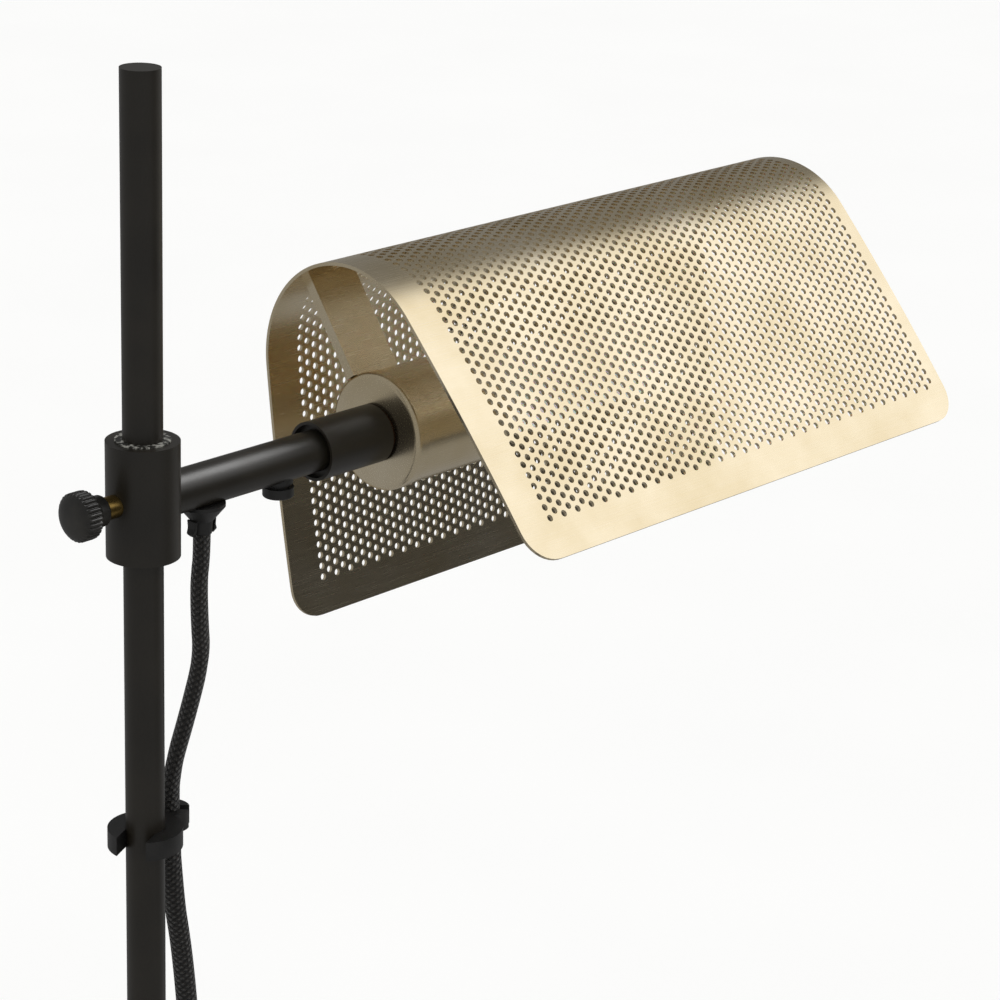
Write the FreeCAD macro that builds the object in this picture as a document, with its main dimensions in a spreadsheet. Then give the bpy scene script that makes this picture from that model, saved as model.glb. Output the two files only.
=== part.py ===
import FreeCAD, Part
import math
import os
import re
import Sketcher

# Pharmacy floor lamp. A weighted round foot carries a slim black pole. A clamping collar slides
# and turns on the pole and holds a short arm, and a perforated brass shade tips about that arm.
# Frame: the origin is the middle of the foot's underside, +Z runs up the pole, and +X runs along
# the arm. All sizes are in millimetres.

DOC = FreeCAD.newDocument("pharmacy_floor_lamp")
SHEET = DOC.addObject("Spreadsheet::Sheet", "sizes")

SIZES = (
    # foot
    ("base_radius", 125.0, "outside of the spun steel cover"),
    ("base_cover_wall", 1.2, "sheet of the cover"),
    ("base_cover_top", 18.6, "upper face of the cover at the pole"),
    ("base_cover_edge", 14.0, "height of the cover where its skirt starts"),
    ("base_skirt_height", 8.5, "top of the upright skirt"),
    ("base_skirt_gap", 1.0, "skirt's lower edge above the floor"),
    ("base_pad_height", 3.0, "felt pad that the lamp stands on"),
    ("base_pad_inset", 5.0, "edge of the pad inside the edge of the cover"),
    ("base_recess_radius", 22.0, "room for the nut under the weight"),
    ("base_recess_top", 11.0, "roof of that room"),
    ("base_boss_radius", 20.0, "raised middle of the weight, under the cover"),
    ("base_stud_radius", 4.0, "M8 stud"),
    ("base_stud_top", 58.0, "upper end of the stud, inside the pole"),
    ("foot_washer_radius", 12.0, "washer under the weight"),
    ("foot_washer_height", 1.6, "washer"),
    ("foot_nut_radius", 7.5, "across the corners of the nut, halved"),
    ("foot_nut_height", 5.0, "thin nut"),
    ("foot_collar_radius", 17.0, "trim ring round the foot of the pole"),
    ("foot_collar_height", 9.0, "trim ring"),
    ("foot_collar_lip", 2.0, "upright edge of the trim ring"),
    # pole
    ("pole_radius", 6.5, "outside of the pole"),
    ("pole_wall", 1.2, "wall of the pole"),
    ("pole_height", 1350.0, "top of the lamp"),
    ("pole_joint_low", 455.0, "lower joint between sections"),
    ("pole_joint_high", 900.0, "upper joint between sections"),
    ("pole_joiner_reach", 25.0, "threaded joiner inside each section"),
    ("pole_cap_height", 1.5, "flat closing disc"),
    ("pole_cap_plug", 8.0, "plug of the cap inside the pole"),
    # carriage
    ("arm_height", 1210.0, "axis of the arm above the floor"),
    ("collar_radius", 12.0, "outside of the clamping collar"),
    ("collar_above", 20.8, "collar above the arm's axis"),
    ("collar_below", 18.0, "collar below the arm's axis"),
    ("bush_wall", 1.6, "nylon bush between pole and collar"),
    ("bush_length", 9.0, "each bush"),
    ("bush_flange_radius", 9.0, "flange of the bush"),
    ("bush_flange_height", 1.2, "flange of the bush"),
    ("bush_seat_depth", 0.8, "recess for the flange in the collar"),
    ("arm_radius", 7.2, "outside of the arm tube"),
    ("arm_wall", 1.0, "wall of the arm tube"),
    ("arm_start", 9.4, "inner end of the arm in the collar"),
    ("arm_end", 82.0, "outer end of the arm in the sleeve"),
    ("gland_place", 25.0, "cord gland along the arm"),
    ("gland_radius", 7.8, "dish of the gland"),
    ("gland_neck_radius", 3.9, "lower end of the dish"),
    ("gland_drop", 4.8, "dish below the arm"),
    ("relief_radius", 3.7, "strain relief inside the gland"),
    ("relief_tip_radius", 3.3, "lower end of the strain relief"),
    ("relief_rise", 3.5, "top of the strain relief above the arm's axis"),
    ("relief_drop", 16.6, "lower end of the strain relief below the arm's axis"),
    ("cord_radius", 3.2, "mean radius of the oval cord"),
    ("switch_place", 59.0, "push switch along the arm"),
    ("switch_button_radius", 5.3, "push button"),
    ("switch_button_height", 3.6, "push button"),
    ("switch_button_drop", 5.0, "underside of the button below the arm"),
    ("switch_neck_radius", 5.0, "threaded neck of the switch"),
    ("switch_stem_radius", 3.8, "stem of the button"),
    ("switch_stem_length", 3.2, "stem above the button"),
    ("switch_plunger_radius", 1.5, "plunger on the stem"),
    ("switch_plunger_length", 8.2, "plunger above the button"),
    ("switch_travel", 1.2, "travel of the button"),
    ("switch_body_length", 14.0, "insulating body, along the arm"),
    ("switch_body_width", 7.0, "insulating body, across the arm"),
    ("switch_body_floor", 2.2, "underside of the body below the arm's axis"),
    ("switch_body_roof", 2.6, "top of the body above the arm's axis"),
    # clamping screw
    ("screw_turned", 180.0, "direction of the screw about the pole"),
    ("screw_radius", 3.75, "brass shank"),
    ("screw_start", 8.4, "inner end of the shank from the pole's axis"),
    ("screw_end", 25.0, "end of the shank inside the knob"),
    ("pad_radius", 3.0, "nylon clamping pad"),
    ("knob_radius", 7.8, "fluted head"),
    ("knob_start", 17.0, "inner end of the knob"),
    ("knob_shoulder", 22.6, "start of the fluted head"),
    ("knob_shoulder_radius", 6.0, "plain shoulder"),
    ("knob_rim", 27.2, "end of the fluted head"),
    ("knob_end", 30.6, "crown of the domed face"),
    ("knob_flutes", 30.0, "number of flutes"),
    ("knob_flute_radius", 0.55, "each flute"),
    # swivel between arm and head
    ("sleeve_radius", 10.2, "outside of the sleeve"),
    ("sleeve_start", 74.0, "mouth of the sleeve"),
    ("sleeve_end", 103.2, "closed end of the sleeve"),
    ("sleeve_mouth_radius", 9.2, "shallow recess in the mouth"),
    ("sleeve_mouth_depth", 2.4, "shallow recess in the mouth"),
    ("sleeve_floor", 7.0, "thickness of the closed end"),
    ("nipple_radius", 5.0, "M10 hollow threaded nipple"),
    ("nipple_bore", 3.3, "way through for the lead"),
    ("nipple_end", 115.5, "end of the nipple inside the housing"),
    ("friction_washer_radius", 8.6, "fibre washer"),
    ("friction_washer_height", 1.1, "fibre washer"),
    ("spring_washer_radius", 8.0, "spring washer"),
    ("spring_washer_height", 1.6, "spring washer"),
    ("nipple_nut_radius", 8.2, "across the corners of the nut, halved"),
    ("nipple_nut_height", 3.4, "thin nut"),
    # head
    ("head_tilt", 25.5, "shade tipped forward about the arm"),
    ("housing_radius", 20.8, "outside of the socket cup's lid"),
    ("housing_lid_depth", 5.4, "lid of the socket cup"),
    ("housing_edge", 3.0, "rounded edge of the lid"),
    ("housing_wall", 1.0, "sheet of the cup"),
    ("housing_step", 0.5, "cup smaller than its lid"),
    ("housing_end", 152.0, "open end of the cup"),
    ("shade_start", 98.6, "near edge of the shade"),
    ("shade_length", 240.4, "shade along the arm"),
    ("shade_wall", 1.2, "sheet of the shade"),
    ("crown_radius", 39.5, "outside of the shade's crown"),
    ("crown_angle", 71.7, "half of the crown's turn"),
    ("crown_height", 21.1, "crown's centre above the arm's axis, measured square to the opening"),
    ("side_radius", 1032.0, "slight bow of the shade's sides"),
    ("side_length", 94.2, "each side of the shade"),
    ("shade_corner", 12.0, "rounded lower corners"),
    ("bracket_turned", 36.0, "bracket leans back from upright"),
    ("bracket_length", 21.0, "bracket along the arm"),
    ("bracket_thickness", 3.8, "bracket plate"),
    # lampholder and bulb
    ("socket_start", 121.5, "rear face of the lampholder"),
    ("socket_length", 36.0, "lampholder"),
    ("socket_radius", 17.0, "lampholder's body"),
    ("socket_flange_height", 5.0, "flange that seats in the cup"),
    ("socket_floor", 7.0, "lampholder's floor"),
    ("socket_shell_radius", 14.2, "outside of the screw shell"),
    ("socket_shell_wall", 0.4, "screw shell"),
    ("socket_shell_length", 24.0, "screw shell"),
    ("socket_contact_height", 3.0, "centre contact"),
    ("bulb_cap_radius", 13.2, "E26 screw cap"),
    ("bulb_cap_length", 24.0, "screw cap"),
    ("bulb_radius", 15.0, "tubular bulb"),
    ("bulb_length", 92.0, "glass of the bulb"),
    # cord clips
    ("clip_height", 6.6, "each cord clip"),
    ("clip_radius", 12.5, "outside of the clip's pole grip"),
    ("clip_mouth_turned", 205.0, "direction of the mouth about the pole"),
    ("clip_mouth_width", 10.4, "mouth that snaps over the pole"),
    ("hook_place", 15.7, "cord hook from the pole's axis"),
    ("hook_side", 5.5, "cord hook to one side"),
    ("hook_radius", 6.6, "outside of the cord hook"),
    ("hook_bore", 3.5, "cord hook's bore"),
    ("hook_mouth_width", 3.4, "mouth of the cord hook"),
    ("hook_mouth_turned", -45.0, "direction of that mouth"),
    # fits
    ("running_gap", 0.05, "radial gap of a running fit"),
    ("free_gap", 0.3, "gap between pieces that pass each other"),
    ("seat_gap", 0.5, "loose gap inside the foot"),
    # coil and plug
    ("coil_radius", 38.0, "middle of the coil's turns"),
    ("coil_half_width", 7.6, "two turns side by side, halved"),
    ("coil_height", 17.0, "three turns high"),
    ("coil_x", 128.0, "coil's centre"),
    ("coil_y", 142.0, "coil's centre"),
    ("tie_width", 9.0, "band round the coil"),
    ("tie_wall", 1.0, "band round the coil"),
    ("plug_length", 30.0, "plug body"),
    ("plug_width", 24.0, "plug body"),
    ("plug_height", 16.0, "plug body"),
    ("plug_x", 154.2, "cord end of the plug"),
    ("plug_y", 82.8, "cord end of the plug"),
    ("plug_turned", -105.2, "direction that the plug points"),
    ("blade_length", 17.0, "each contact blade"),
    ("blade_width", 6.3, "each contact blade"),
    ("blade_thickness", 1.5, "each contact blade"),
    ("blade_spacing", 12.7, "blades apart"),
)

for row, (alias, number, note) in enumerate(SIZES, start=1):
    SHEET.set("A%d" % row, alias)
    SHEET.set("B%d" % row, "%g" % number)
    SHEET.setAlias("B%d" % row, alias)
    SHEET.set("C%d" % row, note)
DOC.recompute()
NAMES = {alias for alias, number, note in SIZES}

# Heights of the cord clips' middles. The first one follows the collar along the pole.
CLIP_HEIGHTS = (1092.4, 860.0, 610.0, 360.0, 125.0)

# Sizes that follow from the sheet, written as expressions of its cells.
POLE_BORE = "(pole_radius - pole_wall)"
BUSH_BORE = "(pole_radius + running_gap)"
BUSH_RADIUS = "(pole_radius + bush_wall)"
COLLAR_BORE = "(pole_radius + bush_wall + running_gap)"
COLLAR_TOP = "(arm_height + collar_above)"
COLLAR_BOTTOM = "(arm_height - collar_below)"
SCREW_HEIGHT = "(arm_height + (collar_above - collar_below) / 2)"
ARM_UNDERSIDE = "(arm_height - arm_radius)"
LID_FACE = "(sleeve_end + friction_washer_height)"
CUP_RADIUS = "(housing_radius - housing_step)"
CUP_BORE = "(housing_radius - housing_step - housing_wall)"
CAP_START = "(socket_start + socket_floor + socket_contact_height)"

PARTS = {}


def linked(text):
    """Names in an expression become cells of the sheet."""
    return re.sub(r"[a-z_]+", lambda word: "sizes." + word[0] if word[0] in NAMES else word[0], text)


def value(text):
    """The number that an expression stands for now."""
    return float(SHEET.evalExpression(re.sub(r"[a-z_]+", lambda word: word[0], text)))


def keep(label, piece, along="z", turned="0", x="0", y="0", z="0"):
    """Name a finished piece, place it, and list it for export. along is the way its own +Z points."""
    piece.Label = label
    place(piece, along, turned, x, y, z)
    PARTS[label] = piece
    return piece


def place(piece, along="z", turned="0", x="0", y="0", z="0"):
    """Turn a piece so that its own +Z points along an axis, then move it. Moves are expressions."""
    aims = {"z": FreeCAD.Rotation(), "x": FreeCAD.Rotation(FreeCAD.Vector(0, 1, 0), 90)}
    spin = FreeCAD.Rotation(FreeCAD.Vector(1, 0, 0) if along == "x" else FreeCAD.Vector(0, 0, 1),
                            value(turned))
    piece.Placement = FreeCAD.Placement(FreeCAD.Vector(), spin * aims[along])
    for axis, text in (("x", x), ("y", y), ("z", z)):
        piece.setExpression("Placement.Base." + axis, linked(text))
    return piece


def cylinder(radius, length, z="0", x="0", y="0", along="z"):
    """A Part cylinder whose radius, length and start are expressions."""
    piece = DOC.addObject("Part::Cylinder", "cylinder")
    piece.setExpression("Radius", linked(radius))
    piece.setExpression("Height", linked(length))
    return place(piece, along, "0", x, y, z)


def cone(low_radius, high_radius, length, z="0", x="0", along="z"):
    piece = DOC.addObject("Part::Cone", "cone")
    piece.setExpression("Radius1", linked(low_radius))
    piece.setExpression("Radius2", linked(high_radius))
    piece.setExpression("Height", linked(length))
    return place(piece, along, "0", x, "0", z)


def box(length, width, height, x="0", y="0", z="0"):
    """A Part box centred across its width."""
    piece = DOC.addObject("Part::Box", "box")
    for side, text in (("Length", length), ("Width", width), ("Height", height)):
        piece.setExpression(side, linked(text))
    return place(piece, "z", "0", x, "%s - (%s) / 2" % (y, width), z)


def hexagon(radius, height, z="0", x="0", along="z"):
    """A hexagonal prism, for nuts. radius is to the corners."""
    piece = DOC.addObject("Part::Prism", "hexagon")
    piece.Polygon = 6
    piece.setExpression("Circumradius", linked(radius))
    piece.setExpression("Height", linked(height))
    return place(piece, along, "0", x, "0", z)


def joined(*pieces):
    whole = DOC.addObject("Part::MultiFuse", "joined")
    whole.Shapes = list(pieces)
    return whole


def without(base, *tools):
    """base with the tools cut away."""
    piece = DOC.addObject("Part::Cut", "without")
    piece.Base = base
    piece.Tool = tools[0] if len(tools) == 1 else joined(*tools)
    return piece


def tube(outer, inner, length, z="0", x="0", y="0", along="z"):
    """A plain tube: two cylinders, one cut from the other."""
    return without(cylinder(outer, length, z, x, y, along), cylinder(inner, length, z, x, y, along))


def sketch_in(body, plane):
    """An empty sketch on one of the body's own origin planes."""
    sketch = body.newObject("Sketcher::SketchObject", "outline")
    origin = next(item for item in body.Origin.OriginFeatures if item.Role == plane)
    sketch.AttachmentSupport = [(origin, "")]
    sketch.MapMode = "FlatFace"
    return sketch


def polygon(sketch, outline):
    """Closed straight outline. Each corner is two expressions, tied to the origin."""
    spots = [FreeCAD.Vector(value(across), value(up), 0) for across, up in outline]
    count = len(spots)
    for corner in range(count):
        sketch.addGeometry(Part.LineSegment(spots[corner], spots[(corner + 1) % count]), False)
    for corner in range(count):
        sketch.addConstraint(Sketcher.Constraint("Coincident", corner, 2, (corner + 1) % count, 1))
    for corner, texts in enumerate(outline):
        for kind, text in zip(("DistanceX", "DistanceY"), texts):
            number = sketch.addConstraint(Sketcher.Constraint(kind, -1, 1, corner, 1, value(text)))
            sketch.setExpression("Constraints[%d]" % number, linked(text))


def turned_body(outline):
    """A PartDesign body spun about its own Z from corners given as (radius, height)."""
    body = DOC.addObject("PartDesign::Body", "turned")
    sketch = sketch_in(body, "XZ_Plane")
    polygon(sketch, outline)
    spin = body.newObject("PartDesign::Revolution", "spin")
    spin.Profile = sketch
    spin.ReferenceAxis = (sketch, ["V_Axis"])
    spin.Angle = 360
    DOC.recompute()
    return body


def rounded(body, radius, wanted):
    """Fillet the edges of the body's last feature for which wanted(edge) holds."""
    DOC.recompute()
    last = body.Tip
    names = ["Edge%d" % (i + 1) for i, edge in enumerate(last.Shape.Edges) if wanted(edge)]
    if not names:
        raise RuntimeError("no edge to round on " + body.Name)
    fillet = body.newObject("PartDesign::Fillet", "rounding")
    fillet.Base = (last, names)
    fillet.setExpression("Radius", linked(radius))
    DOC.recompute()
    return body


def ring_edge(radius, height):
    """Picks the circular edge of a turned body at a radius and a height."""
    def wanted(edge):
        round_edge = hasattr(edge.Curve, "Radius")
        return round_edge and abs(edge.Curve.Radius - value(radius)) < 0.01 \
            and abs(edge.Curve.Center.z - value(height)) < 0.01
    return wanted


# ---- foot ----------------------------------------------------------------------------------------

keep("base_pad", tube("base_radius - base_pad_inset", "base_recess_radius", "base_pad_height"))

COVER_INSIDE = "(base_radius - base_cover_wall)"
keep("base_weight", turned_body((
    ("base_stud_radius + running_gap", "base_recess_top"),
    ("base_recess_radius", "base_recess_top"),
    ("base_recess_radius", "base_pad_height"),
    (COVER_INSIDE + " - seat_gap", "base_pad_height"),
    (COVER_INSIDE + " - seat_gap", "base_skirt_height - base_cover_wall"),
    (COVER_INSIDE + " - 6", "base_cover_edge - base_cover_wall - seat_gap"),
    ("base_boss_radius + 2", "base_cover_top - base_cover_wall - seat_gap"),
    ("base_boss_radius", "base_cover_top - base_cover_wall"),
    ("base_stud_radius + running_gap", "base_cover_top - base_cover_wall"),
)))

base_cover = turned_body((
    ("base_stud_radius + running_gap", "base_cover_top"),
    ("base_boss_radius + 2", "base_cover_top"),
    ("base_radius - 6", "base_cover_edge"),
    ("base_radius", "base_skirt_height"),
    ("base_radius", "base_skirt_gap"),
    (COVER_INSIDE, "base_skirt_gap"),
    (COVER_INSIDE, "base_skirt_height - base_cover_wall / 2"),
    (COVER_INSIDE + " - 5.6", "base_cover_edge - base_cover_wall"),
    ("base_boss_radius + 2", "base_cover_top - base_cover_wall"),
    ("base_stud_radius + running_gap", "base_cover_top - base_cover_wall"),
))
keep("base_cover", base_cover)

WASHER_FLOOR = "(base_recess_top - foot_washer_height)"
NUT_FLOOR = "(base_recess_top - foot_washer_height - foot_nut_height)"
keep("foot_washer", tube("foot_washer_radius", "base_stud_radius + running_gap", "foot_washer_height"),
     z=WASHER_FLOOR)
keep("foot_nut", without(hexagon("foot_nut_radius", "foot_nut_height"),
                         cylinder("base_stud_radius", "foot_nut_height")), z=NUT_FLOOR)
keep("foot_stud", cylinder("base_stud_radius", "base_stud_top - (%s)" % NUT_FLOOR), z=NUT_FLOOR)
keep("foot_insert", tube(POLE_BORE, "base_stud_radius", "base_stud_top - base_cover_top"),
     z="base_cover_top")
keep("foot_collar", turned_body((
    ("pole_radius + running_gap", "0"),
    ("foot_collar_radius", "0"),
    ("foot_collar_radius", "foot_collar_lip"),
    ("foot_collar_radius - foot_collar_height + foot_collar_lip", "foot_collar_height"),
    ("pole_radius + running_gap", "foot_collar_height"),
)), z="base_cover_top")

# ---- pole ----------------------------------------------------------------------------------------

POLE_TUBE_TOP = "(pole_height - pole_cap_height)"
for label, low, high in (("lower_pole", "base_cover_top", "pole_joint_low"),
                         ("middle_pole", "pole_joint_low", "pole_joint_high"),
                         ("upper_pole", "pole_joint_high", POLE_TUBE_TOP)):
    keep(label, tube("pole_radius", POLE_BORE, "(%s) - (%s)" % (high, low)), z=low)

joiners = DOC.addObject("Part::Compound", "joiners")
joiners.Links = [cylinder(POLE_BORE, "2 * pole_joiner_reach", z=height + " - pole_joiner_reach")
                 for height in ("pole_joint_low", "pole_joint_high")]
keep("pole_joiners", joiners)
keep("pole_cap", joined(cylinder(POLE_BORE, "pole_cap_plug + pole_cap_height"),
                        cylinder("pole_radius", "pole_cap_height", z="pole_cap_plug")),
     z="pole_height - pole_cap_height - pole_cap_plug")

# ---- collar, bushes and arm ----------------------------------------------------------------------

ARM_SPAN = "(arm_end - arm_start)"


def bush(label, seat, downwards):
    """A flanged nylon bush. seat is the face of the collar that its flange sits in."""
    if downwards:
        flange_start = seat + " + bush_seat_depth - running_gap - bush_flange_height"
        body_start = seat + " + bush_seat_depth - running_gap"
    else:
        flange_start = seat + " - bush_seat_depth + running_gap"
        body_start = seat + " - bush_length"
    whole = joined(cylinder(BUSH_RADIUS, "bush_length", z=body_start),
                   cylinder("bush_flange_radius", "bush_flange_height", z=flange_start))
    bore = cylinder(BUSH_BORE, "3 * bush_length", z="(%s) - 1.5 * bush_length" % seat)
    keep(label, without(whole, bore))


bush("upper_bush", COLLAR_TOP, False)
bush("lower_bush", COLLAR_BOTTOM, True)


def across_pole(piece, start):
    """Aim a piece along the clamping screw, from a distance off the pole's axis."""
    heading = FreeCAD.Rotation(FreeCAD.Vector(0, 0, 1), value("screw_turned"))
    piece.Placement = FreeCAD.Placement(
        FreeCAD.Vector(), heading * FreeCAD.Rotation(FreeCAD.Vector(0, 1, 0), 90))
    piece.setExpression("Placement.Base.x", linked("(%s) * cos(screw_turned * 1 deg)" % start))
    piece.setExpression("Placement.Base.y", linked("(%s) * sin(screw_turned * 1 deg)" % start))
    piece.setExpression("Placement.Base.z", linked(SCREW_HEIGHT))
    return piece


SEAT_CUT = "2 * bush_seat_depth"
SEAT_RADIUS = "bush_flange_radius + running_gap"
keep("collar", without(
    cylinder("collar_radius", "collar_above + collar_below", z=COLLAR_BOTTOM),
    cylinder(COLLAR_BORE, "collar_above + collar_below", z=COLLAR_BOTTOM),
    cylinder(SEAT_RADIUS, SEAT_CUT, z=COLLAR_BOTTOM + " - bush_seat_depth"),
    cylinder(SEAT_RADIUS, SEAT_CUT, z=COLLAR_TOP + " - bush_seat_depth"),
    across_pole(cylinder("screw_radius + running_gap", "collar_radius"), "pole_radius"),
    cylinder("arm_radius", "collar_radius", x="arm_start", z="arm_height", along="x"),
))

keep("arm_tube", without(
    cylinder("arm_radius", ARM_SPAN, x="arm_start", z="arm_height", along="x"),
    cylinder("arm_radius - arm_wall", ARM_SPAN, x="arm_start", z="arm_height", along="x"),
    cylinder("relief_radius", "arm_radius", x="gland_place", z="arm_height - 1.5 * arm_radius"),
    cylinder("switch_neck_radius", "arm_radius", x="switch_place", z="arm_height - 1.5 * arm_radius"),
))

# The gland's dish hugs the underside of the arm, so the arm's own size cuts its top.
GLAND_FOOT = "(arm_height - arm_radius - gland_drop)"
keep("cord_gland", without(
    joined(cone("gland_neck_radius", "gland_radius", "gland_drop", x="gland_place", z=GLAND_FOOT),
           cylinder("gland_radius", "1.2", x="gland_place", z=ARM_UNDERSIDE)),
    cylinder("arm_radius", "4 * gland_radius", x="gland_place - 2 * gland_radius", z="arm_height",
             along="x"),
    cylinder("relief_radius", "4 * gland_drop", x="gland_place", z=GLAND_FOOT + " - gland_drop"),
))
keep("strain_relief", turned_body((
    ("0", "0"),
    ("relief_tip_radius", "0"),
    ("relief_radius", "relief_drop - arm_radius - gland_drop"),
    ("relief_radius", "relief_drop + relief_rise"),
    ("0", "relief_drop + relief_rise"),
)), x="gland_place", z="arm_height - relief_drop")

# ---- push switch ---------------------------------------------------------------------------------

BUTTON_TOP = "(%s - switch_button_drop + switch_button_height)" % ARM_UNDERSIDE
BODY_FLOOR = "(arm_height - switch_body_floor)"
NECK_LENGTH = "%s - %s" % (BODY_FLOOR, ARM_UNDERSIDE)
keep("switch_neck", tube("switch_neck_radius", "switch_stem_radius + running_gap", NECK_LENGTH),
     x="switch_place", z=ARM_UNDERSIDE)
PLUNGER_TOP = "(%s + switch_plunger_length)" % BUTTON_TOP
keep("switch_body", without(
    box("switch_body_length", "switch_body_width", "switch_body_floor + switch_body_roof",
        x="switch_place - switch_body_length / 2", z=BODY_FLOOR),
    cylinder("switch_plunger_radius + running_gap",
             "%s - %s + switch_travel + free_gap" % (PLUNGER_TOP, BODY_FLOOR), x="switch_place",
             z=BODY_FLOOR)))
button = turned_body((
    ("0", "0"),
    ("switch_button_radius", "0"),
    ("switch_button_radius", "switch_button_height"),
    ("switch_stem_radius", "switch_button_height"),
    ("switch_stem_radius", "switch_button_height + switch_stem_length"),
    ("switch_plunger_radius", "switch_button_height + switch_stem_length"),
    ("switch_plunger_radius", "switch_button_height + switch_plunger_length"),
    ("0", "switch_button_height + switch_plunger_length"),
))
rounded(button, "0.8", ring_edge("switch_button_radius", "0"))
keep("switch_button", button, x="switch_place", z=ARM_UNDERSIDE + " - switch_button_drop")

# ---- clamping screw ------------------------------------------------------------------------------

PAD_START = "(pole_radius + running_gap)"
clamp_pad = across_pole(cylinder("pad_radius", "screw_start - (%s)" % PAD_START), PAD_START)
clamp_pad.Label = "clamp_pad"
PARTS["clamp_pad"] = clamp_pad
thumb_screw = across_pole(cylinder("screw_radius", "screw_end - screw_start"), "screw_start")
thumb_screw.Label = "thumb_screw"
PARTS["thumb_screw"] = thumb_screw

knob = turned_body((
    ("0", "screw_end - knob_start"),
    ("screw_radius", "screw_end - knob_start"),
    ("screw_radius", "0"),
    ("screw_radius + 0.9", "0"),
    ("knob_shoulder_radius - 0.5", "1.6"),
    ("knob_shoulder_radius", "knob_shoulder - knob_start - 1.5"),
    ("knob_radius - 0.6", "knob_shoulder - knob_start"),
    ("knob_radius", "knob_shoulder - knob_start + 0.4"),
    ("knob_radius", "knob_rim - knob_start"),
    ("0.72 * knob_radius", "knob_rim - knob_start + 0.65 * (knob_end - knob_rim)"),
    ("0.4 * knob_radius", "knob_rim - knob_start + 0.92 * (knob_end - knob_rim)"),
    ("0", "knob_end - knob_start"),
))
flute_sketch = sketch_in(knob, "XY_Plane")
flute_sketch.addGeometry(Part.Circle(FreeCAD.Vector(value("knob_radius"), 0, 0), FreeCAD.Vector(0, 0, 1),
                                     value("knob_flute_radius")), False)
flute_sketch.addConstraint(Sketcher.Constraint("PointOnObject", 0, 3, -1))
for number, (constraint, text) in enumerate((
        (Sketcher.Constraint("DistanceX", -1, 1, 0, 3, value("knob_radius")), "knob_radius"),
        (Sketcher.Constraint("Radius", 0, value("knob_flute_radius")), "knob_flute_radius")), start=1):
    flute_sketch.addConstraint(constraint)
    flute_sketch.setExpression("Constraints[%d]" % number, linked(text))
flute = knob.newObject("PartDesign::Pocket", "flute")
flute.Profile = flute_sketch
flute.Reversed = True
flute.setExpression("Length", linked("knob_rim - knob_start"))
DOC.recompute()
flutes = knob.newObject("PartDesign::PolarPattern", "flutes")
flutes.Originals = [flute]
flutes.Axis = (flute_sketch, ["N_Axis"])
flutes.Angle = 360
flutes.setExpression("Occurrences", linked("knob_flutes"))
knob.Tip = flutes
DOC.recompute()
across_pole(knob, "knob_start")
knob.Label = "thumb_knob"
PARTS["thumb_knob"] = knob

# ---- swivel --------------------------------------------------------------------------------------

FLOOR_START = "(sleeve_end - sleeve_floor)"
keep("sleeve", without(
    cylinder("sleeve_radius", "sleeve_end - sleeve_start", x="sleeve_start", z="arm_height", along="x"),
    cylinder("sleeve_mouth_radius", "2 * sleeve_mouth_depth", x="sleeve_start - sleeve_mouth_depth",
             z="arm_height", along="x"),
    cylinder("arm_radius", "%s - sleeve_start" % FLOOR_START, x="sleeve_start", z="arm_height", along="x"),
    cylinder("nipple_radius", "2 * sleeve_floor", x=FLOOR_START, z="arm_height", along="x"),
))


def on_arm(label, outer, inner, start, length, shape=cylinder):
    """A ring, tube or nut on the arm's axis."""
    solid = shape(outer, length, x=start, z="arm_height", along="x")
    bore = cylinder(inner, length, x=start, z="arm_height", along="x")
    keep_in_place(label, without(solid, bore))


def keep_in_place(label, piece):
    """Name and list a piece whose own members are already placed."""
    piece.Label = label
    PARTS[label] = piece


NIPPLE_HOLE = "nipple_radius + running_gap"
SPRING_START = "(%s + housing_wall)" % LID_FACE
NUT_START = "(%s + housing_wall + spring_washer_height)" % LID_FACE
on_arm("swivel_nipple", "nipple_radius", "nipple_bore", FLOOR_START, "nipple_end - %s" % FLOOR_START)
on_arm("friction_washer", "friction_washer_radius", NIPPLE_HOLE, "sleeve_end", "friction_washer_height")
on_arm("spring_washer", "spring_washer_radius", NIPPLE_HOLE, SPRING_START, "spring_washer_height")
on_arm("swivel_nut", "nipple_nut_radius", "nipple_radius", NUT_START, "nipple_nut_height", hexagon)

# ---- housing -------------------------------------------------------------------------------------

lid = turned_body((
    (NIPPLE_HOLE, "0"),
    ("housing_radius", "0"),
    ("housing_radius", "housing_lid_depth"),
    (CUP_RADIUS, "housing_lid_depth"),
    (CUP_RADIUS, "housing_edge"),
    (CUP_BORE + " - housing_edge + housing_wall", "housing_wall"),
    (NIPPLE_HOLE, "housing_wall"),
))
rounded(lid, "housing_edge - housing_wall", ring_edge("housing_radius", "0"))
keep("housing_lid", lid, along="x", x=LID_FACE, z="arm_height")
CUP_START = "(%s + housing_edge)" % LID_FACE
on_arm("housing_cup", CUP_RADIUS, CUP_BORE, CUP_START, "housing_end - %s" % CUP_START)

# ---- lampholder and bulb -------------------------------------------------------------------------

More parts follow.
